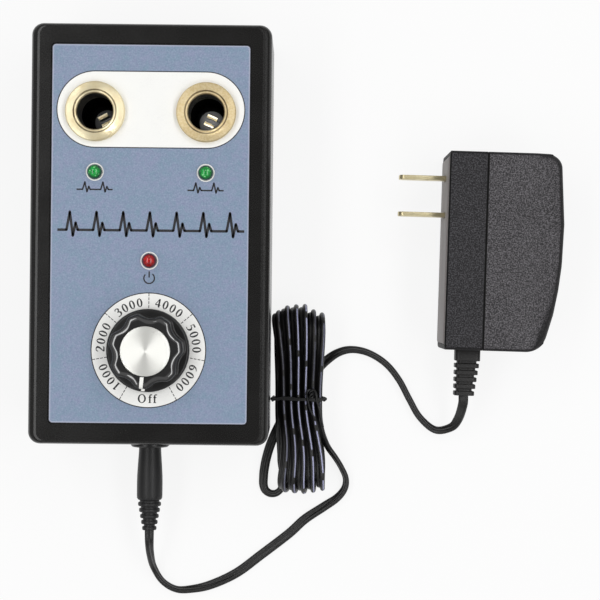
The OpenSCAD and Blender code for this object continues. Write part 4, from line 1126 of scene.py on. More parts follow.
    @staticmethod
    def _rolled(path: np.ndarray, rolls: Sequence[float], steps: int) -> np.ndarray:
        """Direction of the width along a free run.

        Args:
            path: Points of the run.
            rolls: Roll at each point of its route: 0 lies level, 90 stands on edge.
            steps: Steps from each point of the route to the next.

        Returns:
            One direction per point.
        """
        ahead = units(np.gradient(path, axis=0))
        level = units(np.cross(ahead, [0.0, 0.0, 1.0]))
        roll = np.radians(np.interp(np.arange(len(path)) / steps, np.arange(len(rolls)), rolls))[:, None]
        return np.cos(roll) * level + np.sin(roll) * np.cross(level, ahead)

    def route(self, steps: int = 7, part: int = 3) -> tuple[np.ndarray, np.ndarray, np.ndarray]:
        """Middle line of the whole lead.

        Args:
            steps: Steps between the points of the free runs.
            part: Steps between the stages of the hank.

        Returns:
            Its points, the direction of its width at each, and how far the stripe shows there.
        """
        stages = [self.turn_at(k / part) for k in range(self.last * part + 1)]
        hank = np.array([p for p, _ in stages])
        hank_across = np.array([w for _, w in stages])
        leave = hank[-1] - self.turn_at(self.last - 1)[0]
        leave = unit(np.array([leave[0], leave[1], 0.0]))
        start = hank[0] - self.width * np.array([0.0, 1.0, 0.0])
        end = hank[-1] + self.width * leave
        corner, ahead, relief = np.array(self.corner), np.array(self.relief_ahead), np.array(self.relief_end)
        plug = through([*(np.array(self.boot_end) + np.array(self.PLUG_RUN)), *(corner + np.array(self.TABLE_RUN)),
                        *(start + np.array(self.CLIMB))], steps)
        away = through([end, end + np.array([0, -2.6, -0.1]), *(corner + np.array(self.ADAPTER_RUN)),
                        relief - 3.4 * ahead + np.array([0, 0, -1.2]), relief], steps)
        across = np.vstack([self._rolled(plug, self.PLUG_ROLL, steps), hank_across,
                            -self._rolled(away, self.ADAPTER_ROLL, steps)])
        shares = [self.stripe_share(k / part) for k in range(len(hank))]
        return np.vstack([plug, hank, away]), across, np.array([0.0] * len(plug) + shares + [0.0] * len(away))

    def section(self, sides: int = 10) -> tuple[np.ndarray, list[float]]:
        """Outline of two round cores that touch.

        Args:
            sides: Steps round each core.

        Returns:
            Its points, and the angle of each on the striped core, far off on the plain one.
        """
        core = self.thick / 2
        turns = np.radians(np.linspace(-140, 140, sides + 1))
        lobe = np.stack([self.width / 2 - core + core * np.cos(turns), core * np.sin(turns)], 1)
        return np.vstack([lobe, -lobe]), [math.degrees(t) for t in turns] + [900.0] * (sides + 1)

    def stripe_share(self, stage: float) -> float:
        """How far the stripe shows at a stage of the hank: only on some of the runs on top."""
        strand = min(round(stage / self.stages), len(self.STRIPE_SHARES) - 1)
        past = stage - strand * self.stages
        return self.STRIPE_SHARES[strand][0 if past < 0 else 1] if abs(past) < self.stages / 3 else 0.0

    def make_cord(self) -> tuple[bpy.types.Object, np.ndarray]:
        """Sweep the lead's section along its route.

        Returns:
            The lead and the points of its middle line in metres.
        """
        path, across, shown = self.route()
        section, turn = self.section()
        ahead = units(np.gradient(path, axis=0))
        across = units(across - (across * ahead).sum(1)[:, None] * ahead)
        normal = np.cross(ahead, across)
        rings = [p + section[:, :1] * w + section[:, 1:] * n for p, w, n in zip(path, across, normal)]
        run = np.concatenate([[0.0], np.cumsum(np.linalg.norm(np.diff(path, axis=0), axis=1))]) * MM
        marks = {"along": np.repeat(run, len(section)), "turn": turn * len(path),
                 "shown": np.repeat(shown, len(section))}
        lead = self.shop.piece("lead_cord", Shape().loft(rings), self.cord, Body.LEAD, "cord_rubber",
                               ("cord_plug_run", "cord_hank", "cord_adapter_run"), 50.0, marks)
        return lead, path * MM

    def make_grip(self) -> bpy.types.Object:
        """Moulded grip that swells towards a boot of round ribs."""
        mouth, swell, shell, grip = 3.85, 4.45, 10.5, 18.5
        profile: list[Pair] = [(1.2, 0.0)]
        for k in range(5):
            r = 2.5 + 1.5 * k / 4
            z = k * 2.1
            profile += [(r - 0.5, z), (r - 0.16, z + 0.04), (r, z + 0.3), (r, z + 1.0), (r - 0.16, z + 1.26),
                        (r - 0.55, z + 1.32), (r - 0.6, z + 1.9)]
        outline = ((swell - 0.8, 0.0), (swell - 0.35, 0.15), (swell - 0.05, 0.8), (swell, 1.6), (swell, 6.5),
                   (swell - 0.04, 8.3), (4.22, 11.8), (4.02, 14.6), (mouth + 0.02, 17.0), (mouth, 17.6),
                   (mouth, grip - 0.3), (mouth - 0.3, grip), (2.8, grip))
        profile += [(r, shell + z) for r, z in outline]
        shape = Shape().lathe(profile, (0.0, 0.0, 0.0), 48)
        x0, y0, z0 = self.boot_end
        shape.points = [(x0 + x, y0 + z, z0 - y) for x, y, z in shape.points]
        return self.shop.piece("plug_grip_moulded", shape, self.grip, Body.LEAD, "cord_rubber", ("plug_grip",), 40.0)

    def make_tie(self) -> bpy.types.Object:
        """Twist tie: a narrow band round the waist, a twisted knot and two tails that lie down the turns."""
        low = self.table_gap + self.waist_lift - 0.4
        high = low + self.waist_stack + 2 * self.lay_rise + 0.8
        half = self.centre_turn * self.waist_pitch + self.lay_spread + 0.4
        at = np.array(self.corner) + np.array([self.hank_x, self.hank_y, 0.0])
        shape = Shape()
        corners = [(half - 1, low), (half, low + 1), (half, high - 1), (half - 1, high)]
        corners += [(-x, z) for x, z in corners[::-1]]
        outline = through([*corners, corners[0]], 6)[:-1]
        middle = outline.mean(0)
        band = []
        for k, p in enumerate(outline):
            out = unit(p - middle)
            sway = 0.22 * math.sin(k * 0.9) + 0.15 * math.sin(k * 2.3)
            wide = 0.62 + 0.14 * math.cos(k * 1.7)
            ring = [(0.02, -wide), (0.5, -wide * 0.8), (0.62, 0.0), (0.5, wide * 0.8), (0.02, wide)]
            band.append(np.array([[p[0] + out[0] * o, sway + y, p[1] + out[1] * o] for o, y in ring]) + at)
        band.append(band[0])
        shape.loft(band, True, False)
        ring = [(-half - 0.2, 0.5), (-half - 1.0, 0.1), (-half - 0.2, -0.6)]
        for way in (-1, 1):
            ear = [at + np.array([-way * x, way * y, (low + high) / 2 + 1.6]) for x, y in ring]
            self._wire(shape, through(ear, 5), 0.42)
        knot_x, twist = 4.4, 0.8
        tails = {-1: [(3.2, 0.2, 0.9), (3.9, -3.0, 0.9), (6.0, -7.4, 1.6)],
                 1: [(6.4, -0.4, 0.8), (7.3, -4.0, 0.95), (8.6, -9.6, 2.0)]}
        for side, tail in tails.items():
            line = [(knot_x + side * 0.9 * math.sin(k * twist) * 0.6, 0.4 + k * 0.34,
                     0.9 + 0.35 * side * math.cos(k * twist)) for k in range(8)]
            line += [(knot_x + side * 0.9, 3.4, 1.1), (knot_x + side * 1.7, 1.8, 0.95), *tail]
            self._wire(shape, through([at + np.array([x, y, high + z]) for x, y, z in line], 4), 0.4)
        return self.shop.piece("lead_tie", shape, self.tie, Body.LEAD, "cord_rubber", ("cord_tie",), 45.0)

    @staticmethod
    def _wire(shape: Shape, path: np.ndarray, radius: float) -> None:
        """Add a round wire along a path to a shape.

        Args:
            shape: The shape that takes the wire.
            path: Its middle line.
            radius: Its radius.
        """
        rings = []
        side = np.array([0.1, 0.3, 1.0])
        for p, ahead in zip(path, np.gradient(path, axis=0)):
            w = unit(np.cross(ahead, side))
            n = unit(np.cross(ahead, w))
            rings.append(np.array([p + radius * (math.cos(t) * w + math.sin(t) * n)
                                   for t in np.arange(8) * math.pi / 4]))
        shape.loft(rings)

    def build(self) -> tuple[bpy.types.Object, np.ndarray, list[bpy.types.Object]]:
        """Make the lead and what is on it.

        Returns:
            The lead, its middle line in metres, and the grip and tie.
        """
        lead, path = self.make_cord()
        return lead, path, [self.make_grip(), self.make_tie()]


# Case


@dataclass
class Case:
    """The two covers, their screws and the label film."""

    shop: Workshop
    label_w: float = 66.0
    label_l: float = 126.0
    plastic: GrainedPlastic = GrainedPlastic("case_grain", tone(17, 16, 15), 0.27, 0.3, 0.015, 0.1, 0.3, 0.4)
    screws: DrawnMetal = DrawnMetal("screw_steel", tone(176, 178, 180), tone(120, 120, 120), 0.3)

    def build(self) -> None:
        """Dress the covers, the screws and the label."""
        film = LabelFilm("label_film", self.label_w / 2, self.label_l / 2)
        self.shop.dress(self.plastic, "top_cover", "bottom_cover")
        self.shop.dress(self.screws, "cover_screws", "board_screws")
        self.shop.dress(film, "front_label")


class Glyph:
    """Figures and letters of the dial, drawn as pen strokes in a box of height 1."""

    STROKES: ClassVar[dict[str, list[tuple[list[Pair], list[float], int]]]] = {
        "1": [([(0.27, 0.0), (0.27, 0.97)], [0.11, 0.11], 1),
              ([(0.1, 0.82), (0.2, 0.88), (0.28, 0.97)], [0.04, 0.06, 0.05], 4),
              ([(0.1, 0.02), (0.44, 0.02)], [0.045, 0.045], 1)],
        "2": [([(0.04, 0.72), (0.09, 0.9), (0.24, 0.97), (0.4, 0.87), (0.41, 0.68), (0.28, 0.42), (0.06, 0.1)],
               [0.05, 0.07, 0.07, 0.11, 0.12, 0.09, 0.05], 5),
              ([(0.03, 0.055), (0.46, 0.055)], [0.11, 0.11], 1), ([(0.44, 0.05), (0.49, 0.2)], [0.05, 0.03], 1)],
        "3": [([(0.05, 0.8), (0.14, 0.95), (0.28, 0.96), (0.39, 0.84), (0.35, 0.66), (0.17, 0.55)],
               [0.04, 0.07, 0.07, 0.1, 0.09, 0.04], 5),
              ([(0.17, 0.55), (0.36, 0.48), (0.43, 0.3), (0.35, 0.1), (0.18, 0.03), (0.04, 0.08)],
               [0.04, 0.09, 0.12, 0.1, 0.06, 0.1], 5)],
        "4": [([(0.35, 0.97), (0.03, 0.3)], [0.05, 0.05], 1), ([(0.01, 0.28), (0.5, 0.28)], [0.08, 0.08], 1),
              ([(0.36, 0.0), (0.36, 0.98)], [0.11, 0.11], 1)],
        "5": [([(0.13, 0.93), (0.45, 0.93)], [0.11, 0.11], 1), ([(0.15, 0.94), (0.09, 0.58)], [0.04, 0.04], 1),
              ([(0.09, 0.58), (0.27, 0.57), (0.41, 0.44), (0.42, 0.25), (0.3, 0.07), (0.15, 0.03), (0.04, 0.08)],
               [0.05, 0.08, 0.11, 0.12, 0.08, 0.06, 0.1], 5)],
        "6": [([(0.45, 0.97), (0.26, 0.87), (0.11, 0.62), (0.08, 0.33), (0.16, 0.09), (0.27, 0.03), (0.39, 0.12),
                (0.43, 0.3), (0.36, 0.49), (0.25, 0.54), (0.1, 0.43)],
               [0.03, 0.07, 0.1, 0.12, 0.09, 0.06, 0.09, 0.12, 0.09, 0.06, 0.04], 5)],
        "f": [([(0.17, 0.0), (0.17, 0.5), (0.18, 0.82), (0.26, 0.96), (0.38, 0.93)], [0.1, 0.1, 0.1, 0.06, 0.09], 5),
              ([(0.05, 0.62), (0.34, 0.62)], [0.05, 0.05], 1), ([(0.05, 0.02), (0.31, 0.02)], [0.045, 0.045], 1)],
    }
    ROUNDS: ClassVar[dict[str, tuple[Loop, Loop]]] = {
        "0": (ellipse((0.25, 0.5), 0.26, 0.51, 28), ellipse((0.25, 0.5), 0.105, 0.42, 28)),
        "O": (ellipse((0.37, 0.5), 0.38, 0.52, 32), ellipse((0.37, 0.5), 0.22, 0.43, 32)),
    }

    @classmethod
    def loops(cls, sign: str, pen: float) -> list[list[Loop]]:
        """Outlines of one sign, each with its holes.

        Args:
            sign: The figure or letter.
            pen: What the widths of the strokes are multiplied by.

        Returns:
            Groups of an outline and its holes.
        """
        if sign in cls.ROUNDS:
            return [list(cls.ROUNDS[sign])]
        return [[stroke(points, [pen * w for w in widths], steps)] for points, widths, steps in cls.STROKES[sign]]


@dataclass
class LabelPrint:
    """Print on the label: white fields, dial scale with figures, and plain signs in black."""

    shop: Workshop
    lift: float = 0.004
    step: float = 0.02
    line: float = 0.32
    field_y: float = 41.3
    field_w: float = 62.0
    field_h: float = 25.0
    collar_hole: float = 9.0
    lamp_ring: Pair = (2.98, 2.56)
    dial_r: float = 18.85
    dial_hole: float = 6.0
    dash_turns: tuple[float, ...] = (0, 50, 100, 150, 210, 260, 310)
    dash_starts: tuple[float, ...] = (14.0, 15.3, 16.6, 17.9)
    dash_l: float = 0.95
    dash_w: float = 0.26
    first_turn: float = 235.0
    turn_step: float = 50.0
    text_r: float = 14.6
    text_h: float = 2.85
    text_step: float = 9.3
    spread: float = 1.25
    pen: float = 1.4
    white: PrintInk = PrintInk("white_ink", tone(249, 249, 246), tone(238, 238, 236))
    black: PrintInk = PrintInk("black_ink", tone(22, 22, 27), tone(52, 53, 60))

    PULSE: ClassVar[list[Pair]] = [(0.0, -0.3), (0.34, -0.3), (0.46, 0.7), (0.58, -0.62), (0.68, 0.1), (0.76, -0.3)]

    def _level(self, layer: int) -> tuple[float, float]:
        """Underside and top of a layer of ink."""
        return LABEL_TOP + self.lift + self.step * (layer - 1), LABEL_TOP + self.step * layer

    def _field(self, grow: float) -> Loop:
        """Outline of the field round the sockets, grown by a width."""
        return stadium((0.0, self.field_y), self.field_w / 2 + grow, self.field_h / 2 + grow)

    def white_fields(self) -> bpy.types.Object:
        """Field round the sockets, rings round the lamps and the disc under the knob."""
        shape = Shape()
        holes = [disc((side.value * SOCKET_X, SOCKET_Y), self.collar_hole) for side in Side]
        shape.plate([self._field(0.0), *holes], *self._level(1))
        for at in LAMP_PLACES:
            shape.plate([disc(at, r) for r in self.lamp_ring], *self._level(1))
        at = (0.0, KNOB_Y)
        shape.plate([disc(at, self.dial_r, 96), disc(at, self.dial_hole)], *self._level(1))
        return self.shop.piece("white_print", shape, self.white, Body.CASE, "label_print")

    def outlines(self, shape: Shape) -> None:
        """Thin dark lines round the field and the dial, and the dashes between its figures."""
        at = (0.0, KNOB_Y)
        shape.plate([self._field(self.line), self._field(0.0)], *self._level(2))
        shape.plate([disc(at, self.dial_r + self.line, 96), disc(at, self.dial_r, 96)], *self._level(2))
        for turn in self.dash_turns:
            a = math.radians(turn)
            out = np.array([math.sin(a), math.cos(a)])
            for r in self.dash_starts:
                ends = [tuple(np.array(at) + out * r), tuple(np.array(at) + out * (r + self.dash_l))]
                shape.plate([stroke(ends, [self.dash_w] * 2, 1)], *self._level(2))

    def figures(self, shape: Shape) -> None:
        """Speeds round the dial with their tops outwards, and the rest position below."""
        for k in range(6):
            for i, sign in enumerate(f"{k + 1}000"):
                turn = math.radians(self.first_turn + self.turn_step * k + (i - 1.5) * self.text_step)
                out = np.array([math.sin(turn), math.cos(turn)])
                right = np.array([math.cos(turn), -math.sin(turn)])
                self._sign(shape, sign, np.array([0.0, KNOB_Y]) + out * self.text_r, right, out, 0.25)
        for sign, x, half in (("O", -2.0, 0.37), ("f", 0.75, 0.2), ("f", 2.35, 0.2)):
            at = np.array([x, KNOB_Y - self.text_r - self.text_h])
            self._sign(shape, sign, at, np.array([1.0, 0.0]), np.array([0.0, 1.0]), half)

    def _sign(self, shape: Shape, sign: str, foot: np.ndarray, right: np.ndarray, up: np.ndarray, half: float) -> None:
        """Add one figure or letter.

        Args:
            shape: The print that takes it.
            sign: The figure or letter.
            foot: Middle of its foot.
            right: Its direction to the right.
            up: Its direction upwards.
            half: Half its width, as a share of its height.
        """
        for group in Glyph.loops(sign, self.pen):
            loops = [[tuple(foot + self.text_h * ((x - half) * self.spread * right + y * up)) for x, y in loop]
                     for loop in group]
            shape.plate(loops, *self._level(2))

    def _train(self, shape: Shape, centre: Pair, width: float, height: float, pulses: int, pen: float) -> None:
        """Add a train of sharp pulses on a base line.

        Args:
            shape: The print that takes it.
            centre: Its centre.
            width: Its length.
            height: Its height.
            pulses: Number of pulses.
            pen: Width of the line.
        """
        pitch = width / pulses
        row: Loop = []
        for k in range(pulses):
            x = centre[0] - width / 2 + k * pitch
            for dx, dy in self.PULSE[min(k, 1):]:
                row.append((x + dx * pitch, centre[1] + dy * height * 0.75))
        row.append((centre[0] + width / 2, centre[1] - 0.225 * height))
        for a, b in zip(row, row[1:]):
            shape.plate([stroke([a, b], [pen, pen], 1)], *self._level(1))
        for at in row[1:-1]:
            shape.plate([disc(at, pen / 2, 10)], *self._level(1))

    def signs(self, shape: Shape) -> None:
        """Pulse train across the middle, a small pulse under each upper lamp and a mains sign under the lower."""
        self._train(shape, (0.4, 3.0), 62.0, 8.0, 7, 0.85)
        for at in LAMP_PLACES[:2]:
            self._train(shape, (at[0], 15.4), 12.0, 3.3, 2, 0.5)
        x, y, r, pen = LAMP_PLACES[2][0], -14.6, 1.75, 0.46
        turns = [math.radians(t) for t in range(38, 323, 12)]
        ring = [(x + r * math.sin(t), y + r * math.cos(t)) for t in turns]
        shape.plate([stroke(ring, [pen] * len(ring), 2)], *self._level(1))
        shape.plate([stroke([(x, y + 0.2), (x, y + 2.3)], [pen, pen], 1)], *self._level(1))

    def build(self) -> None:
        """Lay the white ink, then the black."""
        self.white_fields()
        shape = Shape()
        self.outlines(shape)
        self.figures(shape)
        self.signs(shape)
        self.shop.piece("black_print", shape, self.black, Body.CASE, "label_print")


@dataclass
class PlugSocket:
    """A brass collar with its insulating cup and its terminal clip."""

    shop: Workshop
    side: Side
    bore: float = 6.0
    seat: float = 7.1
    flange: float = 9.9
    flange_t: float = 2.4
    thread: float = 8.0
    reach: float = 12.0

    def _at(self) -> Pair:
        """Where the socket's axis stands."""
        return self.side.value * SOCKET_X, SOCKET_Y

    def _brass(self) -> TurnedBrass:
        """Polished brass on the left, sandy brass on the right."""
        looks = {Side.LEFT: ("socket_brass_polished", tone(252, 240, 202), tone(230, 206, 154), 0.34, 0.1, 0.72, 0.9),
                 Side.RIGHT: ("socket_brass_sandy", tone(222, 200, 152), tone(196, 172, 122), 0.42, 0.5, 0.6, 0.7)}
        name, *look = looks[self.side]
        return TurnedBrass(name, self._at(), *look, bore_shade_to=self.bore + 0.05,
                           bore_shade_below=LABEL_TOP + self.flange_t - 1.5,
                           grooves=((self.seat - 0.05, 0.2), (self.bore + 0.12, 0.12)))

    def make_collar(self) -> bpy.types.Object:
        """Flange with an eased rim, a cone to the bore, and a threaded neck."""
        b, s, f, t = self.bore, self.seat, self.flange, self.flange_t
        profile: list[Pair] = [(b, -self.reach), (self.thread - 0.3, -self.reach)]
        for k in range(11):
            z = -self.reach + 0.3 + k * 1.05
            profile += [(self.thread, z), (self.thread - 0.35, z + 0.5)]
        profile += [(self.thread - 0.35, 0.0), (f - 0.1, 0.0), (f, 0.1), (f, t - 0.65), (f - 0.08, t - 0.36),
                    (f - 0.28, t - 0.12), (f - 0.6, t), (s + 0.35, t), (s + 0.15, t - 0.04), (s, t - 0.16),
                    (s - 0.12, t - 0.5), (s - 0.3, t - 0.62), (b + 0.42, t - 0.66), (b + 0.3, t - 0.72),
                    (b + 0.18, t - 1.0), (b, t - 1.2), (b, -self.reach + 0.02)]
        name = f"socket_collar_{self.side.name.lower()}"
        shape = Shape().lathe(profile + profile[:1], (*self._at(), LABEL_TOP), 96, False)
        return self.shop.piece(name + "_turned", shape, self._brass(), Body.CASE, "socket_brass", (name,), 30.0)

    def build(self) -> None:
        """Make the collar and dress what lies in it and under it."""
        self.make_collar()
        name = self.side.name.lower()
        cup = GrainedPlastic("cup_plastic", tone(8, 8, 8), 0.85, 0.5, 0.02, 0.02, gloss=0.05)
        clip = ClipMetal("clip_brass", tone(250, 240, 210), tone(222, 196, 140), 0.35, metal=0.5)
        nut = TurnedBrass(f"nut_brass_{name}", self._at(), tone(206, 184, 130), tone(160, 132, 84), 0.34, 0.1)
        self.shop.dress(cup, f"insulator_cup_{name}")
        self.shop.dress(clip, f"terminal_clip_{name}")
        self.shop.dress(nut, f"collar_nut_{name}", f"earth_tag_{name}")


@dataclass
class Lamps:
    """Two green lamps and a red one."""

    shop: Workshop

    def build(self) -> None:
        """Dress each lens."""
        green = (tone(14, 164, 66), tone(2, 60, 24), tone(150, 240, 160), 0.8)
        red = (tone(190, 14, 16), tone(54, 2, 5), tone(240, 130, 100), 0.35)
        for name, at, look in zip(("signal_lamp_left", "signal_lamp_right", "power_lamp"), LAMP_PLACES,
                                  (green, green, red)):
            self.shop.dress(LampLens(name + "_lens", at, *look), name)


@dataclass
class SpeedKnob:
    """Fluted knob with a skirt, a spun cap and a white pointer line."""

    shop: Workshop
    low: float = 42.4
    shaft_r: float = 3.05
    hollow_r: float = 7.2
    hollow_h: float = 4.4
    skirt_r: float = 13.75
    skirt_t: float = 2.6
    lobe_r: float = 12.25
    valley_r: float = 10.75
    flute_r: float = 6.0
    crest: float = 1.0
    flutes: int = 7
    top: float = 54.4
    edge: float = 1.4
    edge_in: float = 2.3
    cap_r: float = 8.15
    cap_t: float = 0.7
    pointer_w: float = 1.2
    paint_t: float = 0.03
    turned: float = 6.0
    sides: int = 180
    plastic: PolishedPlastic = PolishedPlastic("knob_gloss", tone(21, 21, 21), 46.0)
    paint: PrintInk = PrintInk("pointer_paint", tone(248, 248, 244), tone(228, 228, 222))

    def outline(self, turn: float) -> float:
        """Radius of the fluted body at an angle from the pointer, with its crests rounded off.

        Args:
            turn: The angle in radians.

        Returns:
            The radius.
        """
        pitch = 2 * math.pi / self.flutes
        off = turn % pitch - pitch / 2
        reach = self.valley_r + self.flute_r
        rest = self.flute_r ** 2 - (reach * math.sin(off)) ** 2
        flute = reach * math.cos(off) - math.sqrt(rest) if rest > 0 else 99.0
        share = min(max(0.5 + 0.5 * (flute - self.lobe_r) / self.crest, 0.0), 1.0)
        return flute + (self.lobe_r - flute) * share - self.crest * share * (1 - share)

    def make_body(self) -> bpy.types.Object:
        """Skirt, fluted wall, rounded top edge and the seat of the cap."""
        turns = np.arange(self.sides) * 2 * math.pi / self.sides
        angle = turns - math.pi / 2 - math.radians(self.turned)
        flat = np.stack([np.cos(angle), np.sin(angle)], 1)
        fluted = np.array([self.outline(t) for t in turns])
        low, top, skirt, skirt_top = self.low, self.top, self.skirt_r, self.low + self.skirt_t
        levels: list[tuple[Union[float, np.ndarray], float]] = [
            (self.shaft_r, top - self.cap_t - 1), (self.shaft_r, low + self.hollow_h),
            (self.hollow_r, low + self.hollow_h), (self.hollow_r, low), (skirt - 0.15, low), (skirt, low + 0.15),
            (skirt, skirt_top - 0.75), (skirt - 0.1, skirt_top - 0.4), (skirt - 0.32, skirt_top - 0.12),
            (skirt - 0.7, skirt_top), (skirt - 0.76, skirt_top), (fluted + 0.51, skirt_top),
            (fluted + 0.45, skirt_top), (fluted + 0.13, skirt_top + 0.13), (fluted, skirt_top + 0.45),
            (fluted, top - self.edge)]
        for k in range(1, 11):
            a = math.radians(90 * k / 10)
            levels.append((fluted - self.edge_in * (1 - math.cos(a)), top - self.edge * (1 - math.sin(a))))
        seat = self.cap_r + 0.1
        levels[-1] = (np.maximum(fluted - self.edge_in, seat + 0.12), top)
        levels += [(seat + 0.06, top), (seat, top - 0.08), (seat, top - self.cap_t)]
        rings = []
        for radius, z in levels:
            across = flat * np.broadcast_to(radius, self.sides)[:, None] + np.array([0.0, KNOB_Y])
            rings.append(np.column_stack([across, np.full(self.sides, z)]))
        return self.shop.piece("knob_body_fluted", Shape().loft(rings), self.plastic, Body.KNOB, "knob_plastic",
                               ("knob_body",), 38.0)

    def make_cap(self) -> bpy.types.Object:
        """Spun disc with an eased rim and a faint dimple."""
        r, z, top = self.cap_r, self.top - self.cap_t, self.top
        profile = [(0.5, z), (r, z), (r, top - 0.25), (r - 0.07, top - 0.08), (r - 0.25, top)]
        profile += [(k, top) for k in (6.5, 5.0, 3.5, 2.0, 1.0)] + [(0.4, top - 0.01), (0.05, top - 0.04)]
        shape = Shape().lathe(profile, (0.0, KNOB_Y, 0.0), 120)
        return self.shop.piece("knob_cap_spun", shape, SpunMetal("cap_spun", (0.0, KNOB_Y)), Body.KNOB, "knob_metal",
                               ("knob_cap",), 30.0)

    def make_pointer(self) -> bpy.types.Object:
        """Painted line from the cap over the edge and down a lobe to the rim of the skirt."""
        lobe, top, skirt_top = self.lobe_r, self.top + self.paint_t, self.low + self.skirt_t
        path: list[Pair] = [(self.cap_r + 0.25, top), (lobe - self.edge_in, top)]
        for k in range(1, 7):
            a = math.radians(15 * k)
            path.append((lobe - self.edge_in * (1 - math.sin(a)) + 0.04, top - self.edge * (1 - math.cos(a))))
        path += [(lobe + 0.05, skirt_top + 0.6), (lobe + 0.2, skirt_top + 0.25), (lobe + 0.6, skirt_top + 0.05),
                 (self.skirt_r - 0.7, skirt_top + 0.04), (self.skirt_r - 0.25, skirt_top - 0.1)]
        a = -math.pi / 2 - math.radians(self.turned)
        out, side = np.array([math.cos(a), math.sin(a), 0.0]), np.array([-math.sin(a), math.cos(a), 0.0])
        rings = []
        line = np.array(path)
        for (r, z), (dr, dz) in zip(line, np.gradient(line, axis=0)):
            down = unit(np.array([dz, -dr])) * 0.2
            half = self.pointer_w / 2
            middle = np.array([0.0, KNOB_Y, z]) + out * r
            sunk = middle + out * down[0] + np.array([0, 0, down[1]])
            rings.append(np.array([middle - side * half, middle + side * half, sunk + side * half, sunk - side * half]))
        return self.shop.piece("knob_pointer_line", Shape().loft(rings), self.paint, Body.KNOB, "pointer_white",
                               ("knob_pointer",), 35.0)

    def build(self) -> None:
        """Make the knob and dress its shaft and the control under it."""
        self.make_body()
        self.make_cap()
        self.make_pointer()
        steel = DrawnMetal("control_steel", tone(182, 184, 188), tone(140, 140, 142), 0.28)
        brass = TurnedBrass("control_brass", (0.0, KNOB_Y), tone(206, 184, 130), tone(160, 132, 84), 0.34, 0.1)
        self.shop.dress(steel, "control_shaft", "control_body", "control_washer")
        self.shop.dress(brass, "control_bush", "control_nut")
        self.shop.dress(GrainedPlastic("switch_plastic", tone(46, 84, 60), 0.5), "control_switch")


@dataclass
class InnerWorks:
    """Board, coils, wiring and jack inside the case."""

    shop: Workshop

    def build(self) -> None:
        """Dress every inner piece."""
        dress = self.shop.dress
        dress(CircuitBoard("board_lacquer"), "main_board", "adapter_board")
        dress(GrainedPlastic("potting", tone(26, 26, 27), 0.4, 0.6, 0.03), "coil_case_left", "coil_case_right")
        dress(DrawnMetal("core_steel", tone(150, 150, 152), tone(104, 100, 96), 0.4, (1.0, 0.05, 1.0)),
              "coil_core_left", "coil_core_right", "heat_sink")
        dress(GrainedPlastic("lead_red", tone(140, 24, 20), 0.4, 0.5, 0.01), "spark_lead_left", "spark_lead_right")
        dress(DrawnMetal("bare_copper", tone(196, 122, 82), tone(140, 84, 58), 0.3), "earth_link", "control_wires",
              "jack_wires")
        dress(GrainedPlastic("lead_green", tone(34, 104, 48), 0.4, 0.5, 0.01), "earth_lead")
        dress(GrainedPlastic("capacitor_sleeve", tone(30, 38, 84), 0.28, 0.9, 0.01), "filter_capacitor",
              "adapter_capacitor")
        dress(GrainedPlastic("chip_epoxy", tone(28, 28, 29), 0.5, 0.25, 0.02), "timer_chip", "switch_transistor")
        dress(GrainedPlastic("jack_plastic", tone(24, 24, 25), 0.34, 0.5, 0.02), "jack_body")
        dress(DrawnMetal("jack_steel", tone(190, 192, 196), tone(150, 150, 150), 0.25), "jack_nut", "jack_pin",
              "plug_barrel")
        dress(DrawnMetal("winding_wire", tone(176, 118, 60), tone(120, 76, 40), 0.34, (1.0, 0.05, 1.0)),
              "adapter_transformer")


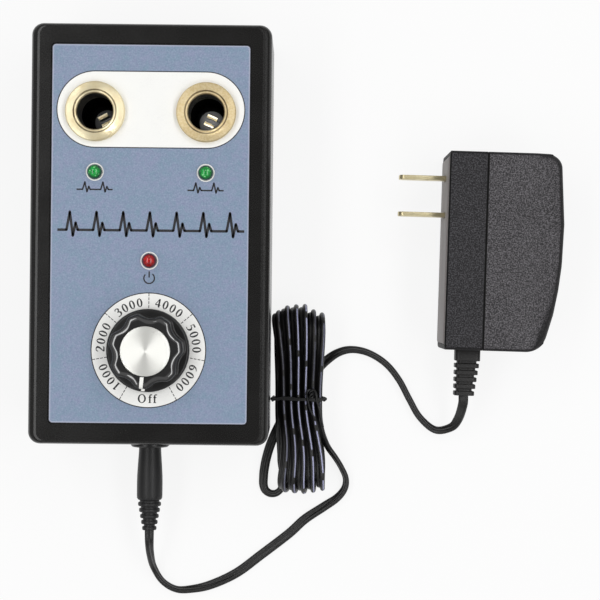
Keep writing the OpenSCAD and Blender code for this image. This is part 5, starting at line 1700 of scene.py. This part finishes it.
@dataclass
class Adapter:
    """Wall adapter that lies on its side: two shells, a pale face, two blades and a ribbed relief."""

    shop: Workshop
    at: Pair = (99.5, -3.8)
    turned: float = 1.2
    parting: float = 13.4
    half_t: float = 15.0
    half_l: float = 33.8
    round_r: float = 1.6
    slope: float = 3.0
    slope_from: float = 29.92
    sharp: float = 40.0
    blunt: float = 20.0
    face: GrainedPlastic = GrainedPlastic("adapter_face_grey", tone(142, 136, 135), 0.5, 0.4, 0.02, 0.06, 0.12)
    relief: GrainedPlastic = GrainedPlastic("relief_rubber", tone(34, 33, 33), 0.46, 0.35, 0.02, 0.2)
    blades: DrawnMetal = DrawnMetal("blade_brass", tone(218, 207, 170), tone(178, 163, 122), 0.3, (0.05, 1.0, 1.0))

    def _inward(self, point: np.ndarray) -> float:
        """Distance of a point in from the adapter's face, in millimetres."""
        a = math.radians(self.turned)
        return (point[0] - self.at[0]) * math.cos(a) - (point[1] - self.at[1]) * math.sin(a)

    def _at_parting(self, ends: np.ndarray) -> bool:
        """Whether an edge lies on the joint of the two shells."""
        return all(abs(self._inward(p) - self.parting) < 0.08 for p in ends)

    def _at_corner(self, ends: np.ndarray) -> bool:
        """Whether an edge lies on the lower corner, where the slope to the back starts."""
        low = self.at[1] - self.half_l + self.round_r + 0.1
        return all(abs(self._inward(p) - self.slope_from) < 0.05 and p[1] < low for p in ends)

    def _at_back(self, ends: np.ndarray) -> bool:
        """Whether an edge lies round the outline of the back."""
        return all(abs(abs(p[2] - self.half_t) - self.half_t + self.slope) < 0.1 for p in ends)

    def _shell(self, name: str, colour: Triple) -> ShellPlastic:
        """Plastic of one shell, with painted shade on its rounded edges and dark lines at the face and at the joint."""
        return ShellPlastic(name, colour, 0.56, 0.44, 0.06, 0.12, 0.85, 0.2, self.at, self.turned,
                            ((0.4, 0.42), (self.parting, 0.36)))

    def build(self) -> bpy.types.Object:
        """Make each piece with eased edges.

        Returns:
            The strain relief, which the lead runs into.
        """
        eased = self.shop.eased
        groove = (0.3, 2, self.sharp, self._at_parting)
        corner = (1.8, 5, self.blunt, self._at_corner)
        rim = (2.0, 5, self.sharp, self._at_back)
        dark = self._shell("adapter_grain_dark", tone(58, 57, 60))
        light = self._shell("adapter_grain_light", tone(87, 85, 88))
        eased("adapter_base", dark, Body.LEAD, "adapter_plastic", groove)
        eased("adapter_back", light, Body.LEAD, "adapter_plastic", groove, corner, rim)
        eased("adapter_face", self.face, Body.LEAD, "adapter_face_grey", (0.6, 3, self.sharp, None))
        eased("adapter_blades", self.blades, Body.LEAD, "blade_brass", (0.2, 2, self.sharp, None))
        return eased("adapter_relief", self.relief, Body.LEAD, "cord_rubber", (0.22, 2, self.sharp, None))


def main() -> None:
    """Load the frame and build each sub-assembly in order."""
    logging.basicConfig(level=logging.INFO, format="%(name)s: %(message)s")
    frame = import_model()
    studio = Studio()
    studio.set_camera()
    shop = Workshop(frame)
    twin_lead = TwinLead(shop)
    lead, path, fittings = twin_lead.build()
    relief = Adapter(shop).build()
    Case(shop).build()
    LabelPrint(shop).build()
    for side in Side:
        PlugSocket(shop, side).build()
    Lamps(shop).build()
    SpeedKnob(shop).build()
    InnerWorks(shop).build()
    studio.lay_floor()
    studio.light()


if __name__ == "__main__":
    main()
